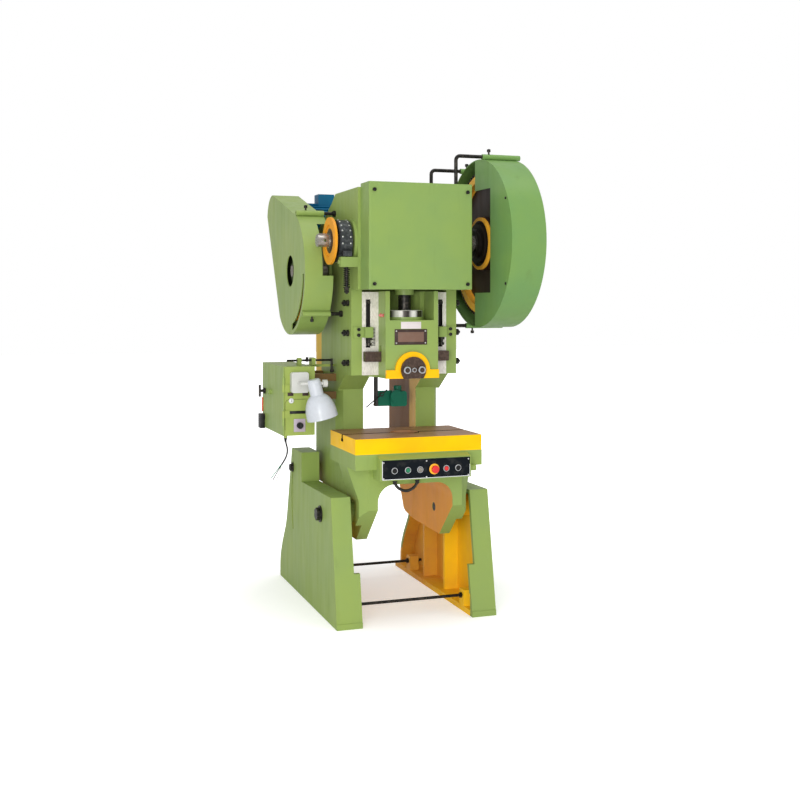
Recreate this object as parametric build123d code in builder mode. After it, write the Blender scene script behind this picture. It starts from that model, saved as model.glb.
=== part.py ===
"""Open-back inclinable crank press on a two-leg stand, in millimetres, +Z up.

The origin is on the floor, at the centre of the four anchor holes. X runs across
the machine, -Y is the operator's side, and the slide travels along Z on the die
axis. The rest position is top dead centre, with the frame upright.
"""

import math
import os

from build123d import *

os.makedirs("parts", exist_ok=True)

# Fits between pieces
run_gap = 0.05
side_gap = 0.2
seat_gap = 0.3

# Stand: two cast legs held apart by tie rods
anchor_pitch_x = 700
anchor_pitch_y = 1035
anchor_inset = 110
anchor_hole_r = 12
stand_width = 884
leg_width = 105
foot_width = 138
foot_thick = 30
leg_wall = 24
leg_front_height = 657
leg_shelf_height = 650
leg_top_height = 815
leg_depth = anchor_pitch_y + 2 * anchor_inset
leg_front = -leg_depth / 2
leg_outer = stand_width / 2
leg_inner = leg_outer - leg_width
tie_rod_r = 8
tie_front = leg_front + 152
tie_rear = leg_front + 1010
tie_height = 84
tie_lug = 64

# Die axis and the main heights
die_y = leg_front + 222
bolster_height = 972
bolster_thick = 80
bolster_width = 700
bolster_front = die_y - 239
bolster_depth = 470
bolster_hole_r = 60
throat_depth = 250
crank_height = 1996
stroke = 80
crank_throw = stroke / 2
rod_length = 533
ball_height = crank_height + crank_throw - rod_length
slide_bottom = ball_height - 233

# Tilting frame
frame_half = 300
gap_half = 155
body_front = die_y - 178
frame_rear = die_y + 718
head_front = die_y - 121
head_top = 2274
head_bottom = 1739
gib_front = die_y - 2
gib_bottom = 1283
pivot_y = die_y + 100
pivot_height = 540
pivot_r = 24
tilt_half = 15
slot_radius = (frame_rear - pivot_y) / math.cos(math.radians(tilt_half)) - 4
tilt_bolt_r = 12
boss_r = 26

# Drive line
journal_r = 45
pin_r = 52
gear_module = 8
gear_teeth = 100
pinion_teeth = 17
gear_left = 452
gear_width = 116
gear_pitch_r = gear_module * gear_teeth / 2
pinion_pitch_r = gear_module * pinion_teeth / 2
shaft_height = 1847
shaft_y = die_y + math.sqrt((gear_pitch_r + pinion_pitch_r) ** 2 - (crank_height - shaft_height) ** 2)
shaft_r = 32
flywheel_r = 280
flywheel_left = -504
flywheel_width = 78
pulley_r = 62
motor_y = die_y + 838
motor_height = 2160
motor_r = 108

# Covers
cover_half = 285
cover_front = die_y - 266
cover_bottom = 1739
cover_top = 2291
sheet = 4
guard_sheet = 5


def save(piece, name):
    """Labels one sub-part and writes it to its own file."""
    piece.part.label = name
    export_step(piece.part, "parts/" + name + ".step")


def bar_x(left, right, y, z, radius, mode=Mode.ADD):
    """A round bar along X, from left to right, inside the current part."""
    with Locations(Location((left, y, z), (0, 90, 0))):
        Cylinder(radius, right - left, align=(Align.CENTER, Align.CENTER, Align.MIN), mode=mode)


def bar_y(front, rear, x, z, radius, mode=Mode.ADD):
    """A round bar along Y, from front to rear, inside the current part."""
    with Locations(Location((x, rear, z), (90, 0, 0))):
        Cylinder(radius, rear - front, align=(Align.CENTER, Align.CENTER, Align.MIN), mode=mode)


def bar_z(low, high, x, y, radius, mode=Mode.ADD):
    """A round upright bar from low to high, inside the current part."""
    with Locations((x, y, low)):
        Cylinder(radius, high - low, align=(Align.CENTER, Align.CENTER, Align.MIN), mode=mode)


def block(x_span, y_span, z_span, mode=Mode.ADD):
    """A square-edged block between three pairs of limits, inside the current part."""
    with Locations((x_span[0], y_span[0], z_span[0])):
        Box(
            x_span[1] - x_span[0],
            y_span[1] - y_span[0],
            z_span[1] - z_span[0],
            align=(Align.MIN, Align.MIN, Align.MIN),
            mode=mode,
        )


def hexagon(across_flats, height):
    """A hexagonal nut or bolt head that stands on the XY plane."""
    return extrude(RegularPolygon(across_flats / 2, 6, major_radius=False), height)


def mirrored(value):
    """The same distance on the left and on the right of the middle plane."""
    return (-value, value)


along_x = (0, 90, 0)
against_y = (90, 0, 0)

# Cast legs. The outline is the leg seen from the side; the inner side is open and ribbed.
leg_outline = [
    (leg_front, 0),
    (leg_front + leg_depth, 0),
    (leg_front + leg_depth - 3, 90),
    (leg_front + leg_depth - 19, 150),
    (leg_front + leg_depth - 60, 222),
    (leg_front + 1112, 334),
    (leg_front + 1084, 396),
    (leg_front + 975, 756),
    (leg_front + 959, leg_top_height),
    (leg_front + 732, leg_top_height),
    (leg_front + 732, leg_shelf_height),
    (leg_front + 118, leg_front_height),
]
rib_thick = 22
rib_front = leg_front + 500
rib_rear = leg_front + 830
pivot_boss_r = 58
pad_height = 270
pad_lean = 118 * pad_height / leg_front_height
slot_half = tilt_bolt_r + 1
lug_inner = leg_outer - foot_width
lug_outer = leg_inner + rib_thick

slot_angle = tilt_half + 2


def slot_end(angle):
    """The centre of the tilt slot's round end at an angle about the pivot, in degrees."""
    turn = math.radians(angle)
    return (pivot_y + slot_radius * math.cos(turn), pivot_height + slot_radius * math.sin(turn))


for side, leg_name in ((-1, "left_leg"), (1, "right_leg")):
    outer_face = side * leg_outer
    with BuildPart() as leg:
        with BuildSketch(Plane.YZ.offset(outer_face)):
            with BuildLine():
                Polyline(*leg_outline, close=True)
            make_face()
        extrude(amount=-side * leg_width)
        with BuildSketch(Plane.YZ.offset(outer_face - side * leg_wall)):
            with BuildLine():
                Polyline(*leg_outline, close=True)
            make_face()
            offset(amount=-leg_wall, kind=Kind.INTERSECTION, mode=Mode.REPLACE)
            with Locations((rib_front, leg_shelf_height / 2), (rib_rear, leg_shelf_height / 2)):
                Rectangle(rib_thick, leg_shelf_height, mode=Mode.SUBTRACT)
            with Locations((pivot_y, pivot_height)):
                Circle(pivot_boss_r, mode=Mode.SUBTRACT)
        extrude(amount=-side * leg_width, mode=Mode.SUBTRACT)
        foot_x = sorted((outer_face, outer_face - side * foot_width))
        lug_x = sorted((side * lug_inner, side * lug_outer))
        block(foot_x, (leg_front, leg_front + leg_depth), (0, foot_thick))
        with BuildSketch(Plane.YZ.offset(outer_face)):
            with BuildLine():
                Polyline(
                    (leg_front, 0),
                    (leg_front + leg_wall, 0),
                    (leg_front + pad_lean + leg_wall, pad_height),
                    (leg_front + pad_lean, pad_height),
                    close=True,
                )
            make_face()
        extrude(amount=-side * foot_width)
        for lug_y in (tie_front, tie_rear):
            block(lug_x, (lug_y - tie_lug / 2, lug_y + tie_lug / 2), (foot_thick - 1, tie_height + tie_lug / 2))
            bar_x(lug_x[0] - 1, lug_x[1] + 1, lug_y, tie_height, tie_rod_r + seat_gap, mode=Mode.SUBTRACT)
        bar_x(-leg_outer - 1, leg_outer + 1, pivot_y, pivot_height, pivot_r + run_gap, mode=Mode.SUBTRACT)
        with BuildSketch(Plane.YZ.offset(outer_face)):
            with BuildLine():
                CenterArc((pivot_y, pivot_height), slot_radius + slot_half, -slot_angle, 2 * slot_angle)
                CenterArc((pivot_y, pivot_height), slot_radius - slot_half, -slot_angle, 2 * slot_angle)
                CenterArc(slot_end(slot_angle), slot_half, slot_angle, 180)
                CenterArc(slot_end(-slot_angle), slot_half, 180 - slot_angle, 180)
            make_face()
        extrude(amount=-side * (leg_wall + 1), mode=Mode.SUBTRACT)
        with Locations((side * anchor_pitch_x / 2, -anchor_pitch_y / 2, 0),
                       (side * anchor_pitch_x / 2, anchor_pitch_y / 2, 0)):
            Cylinder(anchor_hole_r, 3 * foot_thick, mode=Mode.SUBTRACT)
    save(leg, leg_name)


tie_nut_across = 26
tie_nut_thick = 13
tie_end = 16
tie_nut = hexagon(tie_nut_across, tie_nut_thick)

with BuildPart() as tie_rods:
    for tie_y in (tie_front, tie_rear):
        bar_x(-lug_outer - tie_nut_thick - tie_end, lug_outer + tie_nut_thick + tie_end, tie_y, tie_height, tie_rod_r)
save(tie_rods, "tie_rods")

with BuildPart() as tie_nuts:
    for tie_y in (tie_front, tie_rear):
        for nut_x in (-lug_outer - tie_nut_thick, -lug_inner, lug_inner - tie_nut_thick, lug_outer):
            with Locations(Location((nut_x, tie_y, tie_height), along_x)):
                add(tie_nut)
            bar_x(nut_x - 1, nut_x + tie_nut_thick + 1, tie_y, tie_height, tie_rod_r + run_gap, mode=Mode.SUBTRACT)
save(tie_nuts, "tie_nuts")

arch_half = 208
pivot_head = hexagon(60, 20)
with BuildPart() as pivot_bolts:
    for side in (-1, 1):
        ends = sorted((side * (arch_half + 2), side * leg_outer))
        bar_x(ends[0], ends[1], pivot_y, pivot_height, pivot_r)
        washer = sorted((side * leg_outer, side * (leg_outer + 6)))
        bar_x(washer[0], washer[1], pivot_y, pivot_height, 44)
        with Locations(Location((side * (leg_outer + 6), pivot_y, pivot_height), (0, side * 90, 0))):
            add(pivot_head)
save(pivot_bolts, "pivot_bolts")

# Tilting frame casting: two side walls, a bed, a head and an open back
bed_underside = 812
arch_top = 722
arch_corner = 90
corner_bevel = 92
bevel_low = 380
hood_side = 32
hood_low = 636
knee_height = 592
tilt_inner = frame_half - 60
head_wall = 45
crank_space_half = 190
crank_space_rear = die_y + 160
rear_space_front = die_y + 200
rear_space_below = 247
rear_space_above = 103
frame_top_rear = 2000
tilt_boss_y = pivot_y + slot_radius * math.cos(math.radians(tilt_half))
tilt_boss_height = pivot_height + slot_radius * math.sin(math.radians(tilt_half))
frame_side = [
    (body_front, bolster_height - bolster_thick),
    (body_front, knee_height),
    (die_y + 18, 405),
    (die_y + 406, 412),
    (die_y + 505, 422),
    (die_y + 575, 433),
    (die_y + 606, 448),
    (die_y + 643, 518),
]
frame_back = [
    (frame_rear, 650),
    (frame_rear, frame_top_rear),
    (die_y + 640, 2110),
    (die_y + 378, head_top - 46),
    (die_y + 310, head_top),
    (head_front, head_top),
    (head_front, head_bottom),
    (gib_front, head_bottom),
    (gib_front, gib_bottom),
    (die_y + 108, gib_bottom),
    (die_y + throat_depth, 1190),
    (die_y + throat_depth, bolster_height - bolster_thick),
    frame_side[0],
]
slide_half = 148
slide_front = die_y - 120
slide_rear = die_y + 120
gib_outer = 241
gib_rear = slide_rear + 3
ridge_out = 186
ridge_half = 35
ridge_y = die_y + 61
gib_top = head_bottom - 12
gib_screw_y = die_y + 46
gib_screw_r = 7
gib_levels = (1348, 1508, 1668)
bush_r = 57
boss_out = frame_half + 14
bearing_r = 50
anchor_low = 1856
anchor_high = 1908
rod_r = 7
rod_x = -356
rod_y = die_y - 104

with BuildPart() as c_frame:
    with BuildSketch(Plane.YZ):
        with BuildLine():
            Polyline(*frame_side, *frame_back)
        make_face()
    extrude(amount=frame_half, both=True)
    with BuildSketch(Plane.XZ.offset(-bolster_front)):
        with BuildLine():
            Polyline(
                (-bolster_width / 2, bolster_height - bolster_thick),
                (bolster_width / 2, bolster_height - bolster_thick),
                (bolster_width / 2, bed_underside),
                (-bolster_width / 2, bed_underside),
                close=True,
            )
        make_face()
    extrude(amount=-bolster_depth)
    with BuildSketch(Plane.XZ.offset(-body_front)):
        with BuildLine():
            Polyline(
                (-bolster_width / 2, bed_underside),
                (bolster_width / 2, bed_underside),
                (frame_half, hood_low),
                (-frame_half, hood_low),
                close=True,
            )
        make_face()
    extrude(amount=-(die_y + 68 - body_front))
    # The outer front corners below the bed are bevelled, and the sides step in below the hood
    for side in (-1, 1):
        bevel_x = bolster_width / 2 + 3
        with BuildSketch(Plane.XY.offset(bevel_low)):
            with BuildLine():
                Polyline(
                    (side * (bevel_x - corner_bevel - 1), body_front - 1),
                    (side * bevel_x, body_front - 1),
                    (side * bevel_x, body_front + corner_bevel),
                    close=True,
                )
            make_face()
        extrude(amount=bed_underside - bevel_low, mode=Mode.SUBTRACT)
        block(sorted((side * (frame_half - hood_side), side * (frame_half + 1))),
              (body_front + corner_bevel + 4, frame_rear + 1), (bevel_low, hood_low - 5), mode=Mode.SUBTRACT)
    # Open back between the columns, and the seats of the slide guides
    block((-gap_half, gap_half), (gib_front - 1, frame_rear + 1), (bolster_height - bolster_thick, head_bottom + 1),
          mode=Mode.SUBTRACT)
    block((-gib_outer, gib_outer), (gib_front - 1, gib_rear), (gib_bottom - 1, head_bottom), mode=Mode.SUBTRACT)
    # Crank space, open to the front, and the space for the drive shaft, open to the rear
    block((-crank_space_half, crank_space_half), (head_front - 1, crank_space_rear),
          (head_bottom - 1, head_top - head_wall), mode=Mode.SUBTRACT)
    block((-crank_space_half, crank_space_half), (rear_space_front, frame_rear + 1),
          (shaft_height - rear_space_below, shaft_height + rear_space_above), mode=Mode.SUBTRACT)
    # The columns' outer front edges are bevelled
    for side in (-1, 1):
        with BuildSketch(Plane.XY.offset(895)):
            with BuildLine():
                Polyline(
                    (side * frame_half, die_y + throat_depth - 1),
                    (side * (frame_half - 30), die_y + throat_depth - 1),
                    (side * frame_half, die_y + throat_depth + 55),
                    close=True,
                )
            make_face()
        extrude(amount=290, mode=Mode.SUBTRACT)
    # A cross wall behind the slide, and the arch between the cheeks
    block(mirrored(gap_half + 1), (slide_rear + 8, crank_space_rear + 4), (1600, head_bottom + 12))
    with BuildSketch(Plane.XZ.offset(-body_front + 1)):
        with Locations((0, arch_top / 2)):
            RectangleRounded(2 * arch_half, arch_top, arch_corner)
    extrude(amount=-(frame_rear - body_front + 2), mode=Mode.SUBTRACT)
    for side in (-1, 1):
        pivot_boss = sorted((side * (arch_half + 5), side * (leg_inner - seat_gap)))
        bar_x(pivot_boss[0], pivot_boss[1], pivot_y, pivot_height, pivot_boss_r)
        tilt_plate = sorted((side * (tilt_inner - 10), side * frame_half))
        bar_x(tilt_plate[0], tilt_plate[1], tilt_boss_y, tilt_boss_height, 52)
        tilt_boss = sorted((side * (frame_half - 1), side * (leg_outer - leg_wall - seat_gap)))
        bar_x(tilt_boss[0], tilt_boss[1], tilt_boss_y, tilt_boss_height, boss_r)
        crank_boss = sorted((side * crank_space_half, side * boss_out))
        bar_x(crank_boss[0], crank_boss[1], die_y, crank_height, 119)
        tilt_bore = sorted((side * (tilt_inner - 1), side * leg_outer))
        bar_x(tilt_bore[0], tilt_bore[1], tilt_boss_y, tilt_boss_height, tilt_bolt_r + run_gap, mode=Mode.SUBTRACT)
    bar_x(-leg_outer, leg_outer, pivot_y, pivot_height, pivot_r + run_gap, mode=Mode.SUBTRACT)
    bar_x(-boss_out - 1, boss_out + 1, die_y, crank_height, bush_r + run_gap, mode=Mode.SUBTRACT)
    bar_x(-frame_half - 1, frame_half + 1, shaft_y, shaft_height, bearing_r + run_gap, mode=Mode.SUBTRACT)
    bar_z(arch_top - 20, bolster_height, 0, die_y, bolster_hole_r + 15, mode=Mode.SUBTRACT)
    for level in gib_levels:
        bar_x(-frame_half - 1, frame_half + 1, gib_screw_y, level, gib_screw_r + run_gap, mode=Mode.SUBTRACT)
    # Cast lug that the brake's rod and spring work against
    block((-393, -frame_half + 1), (rod_y - 20, rod_y + 20), (anchor_low, anchor_high))
    bar_x(-401, -392, rod_y, (anchor_low + anchor_high) / 2, 12)
    bar_z(anchor_low - 1, anchor_high + 1, rod_x, rod_y, rod_r + seat_gap, mode=Mode.SUBTRACT)
save(c_frame, "c_frame")

tilt_head = hexagon(36, 15)
with BuildPart() as tilt_bolts:
    for side in (-1, 1):
        ends = sorted((side * tilt_inner, side * (leg_outer + 1)))
        bar_x(ends[0], ends[1], tilt_boss_y, tilt_boss_height, tilt_bolt_r)
        washer = sorted((side * (leg_outer + seat_gap), side * (leg_outer + 6)))
        bar_x(washer[0], washer[1], tilt_boss_y, tilt_boss_height, 27)
        with Locations(Location((side * (leg_outer + 5), tilt_boss_y, tilt_boss_height), (0, side * 90, 0))):
            add(tilt_head)
save(tilt_bolts, "tilt_bolts")

# Bolster plate with a T-slot across it and a drop hole on the die axis
slot_mouth = 22
slot_foot = 38
slot_mouth_deep = 20
slot_foot_deep = 17
bolster_rear = bolster_front + bolster_depth
with BuildPart() as bolster_plate:
    block(mirrored(bolster_width / 2), (bolster_front, bolster_rear), (bolster_height - bolster_thick, bolster_height))
    chamfer(bolster_plate.edges().filter_by(Axis.Z), 4)
    block(mirrored(bolster_width / 2 + 1), (die_y - slot_mouth / 2, die_y + slot_mouth / 2),
          (bolster_height - slot_mouth_deep - 1, bolster_height + 1), mode=Mode.SUBTRACT)
    block(mirrored(bolster_width / 2 + 1), (die_y - slot_foot / 2, die_y + slot_foot / 2),
          (bolster_height - slot_mouth_deep - slot_foot_deep, bolster_height - slot_mouth_deep), mode=Mode.SUBTRACT)
    with Locations((0, die_y, bolster_height)):
        CounterBoreHole(bolster_hole_r, bolster_hole_r + 20, 8, depth=bolster_thick + 1)
    with Locations((0, (bolster_front + bolster_rear) / 2, bolster_height)):
        with GridLocations(bolster_width - 70, bolster_depth - 70, 2, 2):
            Hole(7, depth=35)
save(bolster_plate, "bolster_plate")

# Slide guides: V-grooved steel bars seated in the frame, with an adjusting slot down the front
gib_slot_x = 207
gib_slot_half = 12
gib_slot_deep = 26
with BuildPart() as gib_bars:
    for side in (-1, 1):
        inner = side * (slide_half + side_gap)
        groove = side * (ridge_out + side_gap)
        with BuildSketch(Plane.XY.offset(gib_bottom)):
            with BuildLine():
                Polyline(
                    (inner, gib_front),
                    (side * gib_outer, gib_front),
                    (side * gib_outer, gib_rear),
                    (inner, gib_rear),
                    (inner, ridge_y + ridge_half),
                    (groove, ridge_y),
                    (inner, ridge_y - ridge_half),
                    close=True,
                )
            make_face()
        extrude(amount=gib_top - gib_bottom)
        block(sorted((side * (gib_slot_x - gib_slot_half), side * (gib_slot_x + gib_slot_half))),
              (gib_front - 1, gib_front + gib_slot_deep), (gib_bottom + 147, gib_top - 40), mode=Mode.SUBTRACT)
save(gib_bars, "gib_bars")

# Guide adjusting screws in the housing's sides, and the clamp screw at the head of each slot
gib_screw_nut = hexagon(30, 13)
with BuildPart() as gib_screws:
    for side in (-1, 1):
        for level in gib_levels:
            ends = sorted((side * gib_outer, side * (frame_half + 40)))
            bar_x(ends[0], ends[1], gib_screw_y, level, gib_screw_r)
            with Locations(Location((side * frame_half, gib_screw_y, level), (0, side * 90, 0))):
                add(gib_screw_nut)
            with Locations(Location((side * (frame_half + 19), gib_screw_y, level), (0, side * 90, 0))):
                add(gib_screw_nut)
        bar_y(gib_front - 8, gib_front + gib_slot_deep, side * gib_slot_x, gib_top - 56, gib_slot_half)
save(gib_screws, "gib_screws")

# Stops that push the knock-out bar down as the slide nears the top
knock_low = slide_bottom + 86
knock_high = slide_bottom + 140
knock_travel = 30
knock_front = die_y - 52
knock_rear = die_y - 16
stop_y = gib_front - 17
stop_low = knock_high + 74
stop_high = stop_low + 56
stop_screw_r = 8
with BuildPart() as stop_brackets:
    for side in (-1, 1):
        block(sorted((side * 188, side * 290)), (gib_front - 8, gib_front), (stop_low, stop_high))
        block(sorted((side * 188, side * 232)), (gib_front - 34, gib_front - 7), (stop_low, stop_high))
        bar_z(stop_low - 1, stop_high + 1, side * gib_slot_x, stop_y, stop_screw_r + run_gap, mode=Mode.SUBTRACT)
save(stop_brackets, "stop_brackets")

stop_nut_thick = 14
stop_nut = hexagon(32, stop_nut_thick)
stop_screw_low = knock_high + knock_travel + 1
with BuildPart() as stop_screws:
    for side in (-1, 1):
        bar_z(stop_screw_low, stop_high + 6, side * gib_slot_x, stop_y, stop_screw_r)
        bar_z(stop_screw_low, stop_screw_low + stop_nut_thick, side * gib_slot_x, stop_y, 15)
        with Locations((side * gib_slot_x, stop_y, stop_low - stop_nut_thick)):
            add(stop_nut)
        for level in (stop_low + 13, stop_high - 13):
            bar_y(gib_front - 16, gib_front - 8, side * 262, level, 9)
save(stop_screws, "stop_screws")

# Slide: a block with V ridges, horns beside the adjusting screw, and a seat for the ball
slide_top = ball_height + 228
notch_r = 104
notch_half = 124
ball_r = 38
ball_pocket_r = ball_r + crank_throw + 6
pocket_low = ball_height - 57
notch_floor = ball_height + 74
neck_r = 34
ring_bore_r = neck_r + crank_throw + 2
base_ring_high = ball_height + 90
seat_ring_high = ball_height + 127
seat_ring_r = 97
shank_r = 20
shank_deep = 75
clamp_flange_high = slide_bottom + 45
clamp_arch_r = 92
clamp_thick = 16
clamp_front = slide_front - 28
with BuildPart() as slide_block:
    with BuildSketch(Plane.XY.offset(slide_bottom)):
        with BuildLine():
            Polyline(
                (-slide_half, slide_front),
                (slide_half, slide_front),
                (slide_half, ridge_y - ridge_half),
                (ridge_out, ridge_y),
                (slide_half, ridge_y + ridge_half),
                (slide_half, slide_rear),
                (-slide_half, slide_rear),
                (-slide_half, ridge_y + ridge_half),
                (-ridge_out, ridge_y),
                (-slide_half, ridge_y - ridge_half),
                close=True,
            )
        make_face()
    extrude(amount=slide_top - slide_bottom)
    bar_z(notch_floor, slide_top + 1, 0, die_y, notch_r, mode=Mode.SUBTRACT)
    block(mirrored(notch_half), (slide_front - 1, die_y + 30), (notch_floor, slide_top + 1), mode=Mode.SUBTRACT)
    bar_z(notch_floor - 1, base_ring_high, 0, die_y, seat_ring_r + 5)
    bar_z(pocket_low, notch_floor, 0, die_y, ball_pocket_r, mode=Mode.SUBTRACT)
    bar_z(notch_floor - 2, base_ring_high + 1, 0, die_y, ring_bore_r, mode=Mode.SUBTRACT)
    block(mirrored(ridge_out + 1), (knock_front - side_gap, knock_rear + side_gap),
          (knock_low, knock_high + knock_travel + 1), mode=Mode.SUBTRACT)
    bar_z(slide_bottom - 1, slide_bottom + shank_deep, 0, die_y, shank_r, mode=Mode.SUBTRACT)
save(slide_block, "slide_block")

with BuildPart() as seat_ring:
    bar_z(base_ring_high, seat_ring_high, 0, die_y, seat_ring_r)
    bar_z(base_ring_high - 1, seat_ring_high + 1, 0, die_y, ring_bore_r, mode=Mode.SUBTRACT)
    chamfer(seat_ring.edges().group_by(Axis.Z)[-1], 3)
save(seat_ring, "seat_ring")

# Die clamp: an arched cap on the front of the slide with a dark boss, two nuts and a set screw
clamp_disc_r = 69
with BuildPart() as die_clamp:
    with BuildSketch(Plane.XZ.offset(-slide_front)):
        with Locations((0, (slide_bottom + clamp_flange_high) / 2)):
            Rectangle(2 * slide_half, clamp_flange_high - slide_bottom)
        with Locations((0, clamp_flange_high)):
            Circle(clamp_arch_r + 4)
        with Locations((0, slide_bottom - 100)):
            Rectangle(2 * slide_half, 200, mode=Mode.SUBTRACT)
    extrude(amount=clamp_thick)
save(die_clamp, "die_clamp")

clamp_nut = hexagon(30, 16)
with BuildPart() as clamp_boss:
    with BuildSketch(Plane.XZ.offset(clamp_thick - slide_front)):
        with Locations((0, clamp_flange_high)):
            Circle(clamp_disc_r)
        with Locations((0, slide_bottom - 100)):
            Rectangle(2 * slide_half, 200, mode=Mode.SUBTRACT)
    extrude(amount=14)
    for bolt_x in (-41, 41):
        bar_y(clamp_front - 24, clamp_front, bolt_x, clamp_flange_high, 9)
        with Locations(Location((bolt_x, clamp_front, clamp_flange_high), against_y)):
            add(clamp_nut)
    bar_y(clamp_front - 10, clamp_front, 0, clamp_flange_high, 10)
save(clamp_boss, "clamp_boss")

with BuildPart() as knockout_bar:
    block(mirrored(238), (knock_front, knock_rear), (knock_low, knock_high))
    chamfer(knockout_bar.edges().filter_by(Axis.Y), 3)
save(knockout_bar, "knockout_bar")

# Crankshaft, turned to top dead centre, with a web on each side of its pin
stub_end = -490
stub_r = 33
drum_seat_r = 38
web_inner = 64
web_thick = 36
web_r = 72
shaft_end = 590
pin_height = crank_height + crank_throw
with BuildPart() as crankshaft:
    bar_x(stub_end, -425, die_y, crank_height, stub_r)
    bar_x(-426, -boss_out, die_y, crank_height, drum_seat_r)
    bar_x(-boss_out - 1, -web_inner, die_y, crank_height, journal_r)
    bar_x(web_inner, shaft_end, die_y, crank_height, journal_r)
    bar_x(-web_inner - 1, web_inner + 1, die_y, pin_height, pin_r)
    for web_left in (-web_inner - web_thick, web_inner):
        with BuildSketch(Plane.YZ.offset(web_left)) as web:
            with Locations((die_y, crank_height)):
                Circle(web_r)
            with Locations((die_y, pin_height)):
                Circle(web_r)
            make_hull()
        extrude(amount=web_thick)
    block((stub_end + 8, stub_end + 60), (die_y - 5, die_y + 5), (crank_height + 20, crank_height + stub_r + 5))
    bar_y(die_y - stub_r - 1, die_y + stub_r + 1, stub_end + 38, crank_height, 7, mode=Mode.SUBTRACT)
    chamfer(crankshaft.faces().sort_by(Axis.X)[0].edges(), 3)
save(crankshaft, "crankshaft")

bush_edge = boss_out
with BuildPart() as bearings:
    for side in (-1, 1):
        ends = sorted((side * crank_space_half, side * bush_edge))
        bar_x(ends[0], ends[1], die_y, crank_height, bush_r)
        ends = sorted((side * crank_space_half, side * frame_half))
        bar_x(ends[0], ends[1], shaft_y, shaft_height, bearing_r)
        flange = sorted((side * (frame_half - 1), side * (frame_half + 14)))
        bar_x(flange[0], flange[1], shaft_y, shaft_height, bearing_r)
        flange = sorted((side * frame_half, side * (frame_half + 14)))
        bar_x(flange[0], flange[1], shaft_y, shaft_height, bearing_r + 18)
    bar_x(-frame_half - 90, frame_half + 90, die_y, crank_height, journal_r + run_gap, mode=Mode.SUBTRACT)
    bar_x(-frame_half - 90, frame_half + 90, shaft_y, shaft_height, shaft_r + run_gap, mode=Mode.SUBTRACT)
save(bearings, "bearings")

drum_left = -392
drum_right = -322
drum_r = 104
with BuildPart() as brake_drum:
    bar_x(drum_left, drum_right, die_y, crank_height, drum_r)
    bar_x(drum_left - 1, drum_left + 22, die_y, crank_height, drum_r - 12, mode=Mode.SUBTRACT)
    bar_x(drum_left, drum_right, die_y, crank_height, 62)
    bar_x(drum_left - 1, drum_right + 1, die_y, crank_height, drum_seat_r + run_gap, mode=Mode.SUBTRACT)
save(brake_drum, "brake_drum")

cam_left = -424
cam_thick = 14
cam_r = 125
with BuildPart() as cam_disc:
    bar_x(cam_left, cam_left + cam_thick, die_y, crank_height, cam_r)
    bar_x(cam_left, drum_left, die_y, crank_height, 60)
    bar_x(cam_left - 1, cam_left + 5, die_y, crank_height, 84, mode=Mode.SUBTRACT)
    bar_x(cam_left, cam_left + 6, die_y, crank_height, 52)
    bar_x(cam_left - 1, drum_left + 1, die_y, crank_height, drum_seat_r + run_gap, mode=Mode.SUBTRACT)
save(cam_disc, "cam_disc")

# Brake band round the drum, drawn down by a spring below the frame's lug
band_thick = 7
band_left = drum_left + 4
band_right = drum_right - 2
band_in = drum_r + seat_gap
band_out = band_in + band_thick
lug_low = crank_height - 84
lug_high = crank_height - 56
with BuildPart() as brake_band:
    bar_x(band_left, band_right, die_y, crank_height, band_out)
    block((band_left + 8, band_right - 8), (rod_y - 18, rod_y + 18), (lug_low, lug_high))
    bar_x(band_left - 1, band_right + 1, die_y, crank_height, band_in, mode=Mode.SUBTRACT)
    bar_z(lug_low - 1, lug_high + 1, rod_x, rod_y, rod_r + seat_gap, mode=Mode.SUBTRACT)
    block((band_left - 1, band_right + 1), (rod_y + 18, rod_y + 28), (crank_height - band_out, crank_height - 40),
          mode=Mode.SUBTRACT)
save(brake_band, "brake_band")

spring_r = 15
spring_wire_r = 3.2
spring_low = 1752
spring_high = anchor_low
spring_pitch = 11
with BuildPart() as brake_spring:
    with BuildLine():
        Helix(spring_pitch, spring_high - spring_low - 2 * spring_wire_r - 1, spring_r,
              center=(rod_x, rod_y, spring_low + spring_wire_r + 0.5))
    with BuildSketch(Plane(origin=(rod_x + spring_r, rod_y, spring_low + spring_wire_r + 0.5), z_dir=(0, 1, 0))):
        RegularPolygon(spring_wire_r, 6)
    sweep(is_frenet=True)
save(brake_spring, "brake_spring")

brake_nut = hexagon(24, 12)
with BuildPart() as brake_rod:
    bar_z(spring_low - 36, lug_high - 2, rod_x, rod_y, rod_r)
    bar_z(spring_low - 5, spring_low, rod_x, rod_y, 19)
    for level in (spring_low - 17, spring_low - 30):
        with Locations((rod_x, rod_y, level)):
            add(brake_nut)
save(brake_rod, "brake_rod")

# Gear train: a bull gear that turns freely on the crankshaft, driven by the pinion
addendum = gear_module
dedendum = 1.25 * gear_module
backlash = 0.6
pressure = math.radians(20)


def involute(angle):
    """The involute of an angle in radians."""
    return math.tan(angle) - angle


def tooth_half_angle(teeth, radius):
    """Half the angle that a tooth takes up at a radius, in radians, thinned for backlash."""
    pitch = gear_module * teeth / 2
    base = pitch * math.cos(pressure)
    at = math.acos(min(1, base / max(radius, base)))
    return (math.pi / 2 - backlash / gear_module) / teeth + involute(pressure) - involute(at)


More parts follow.
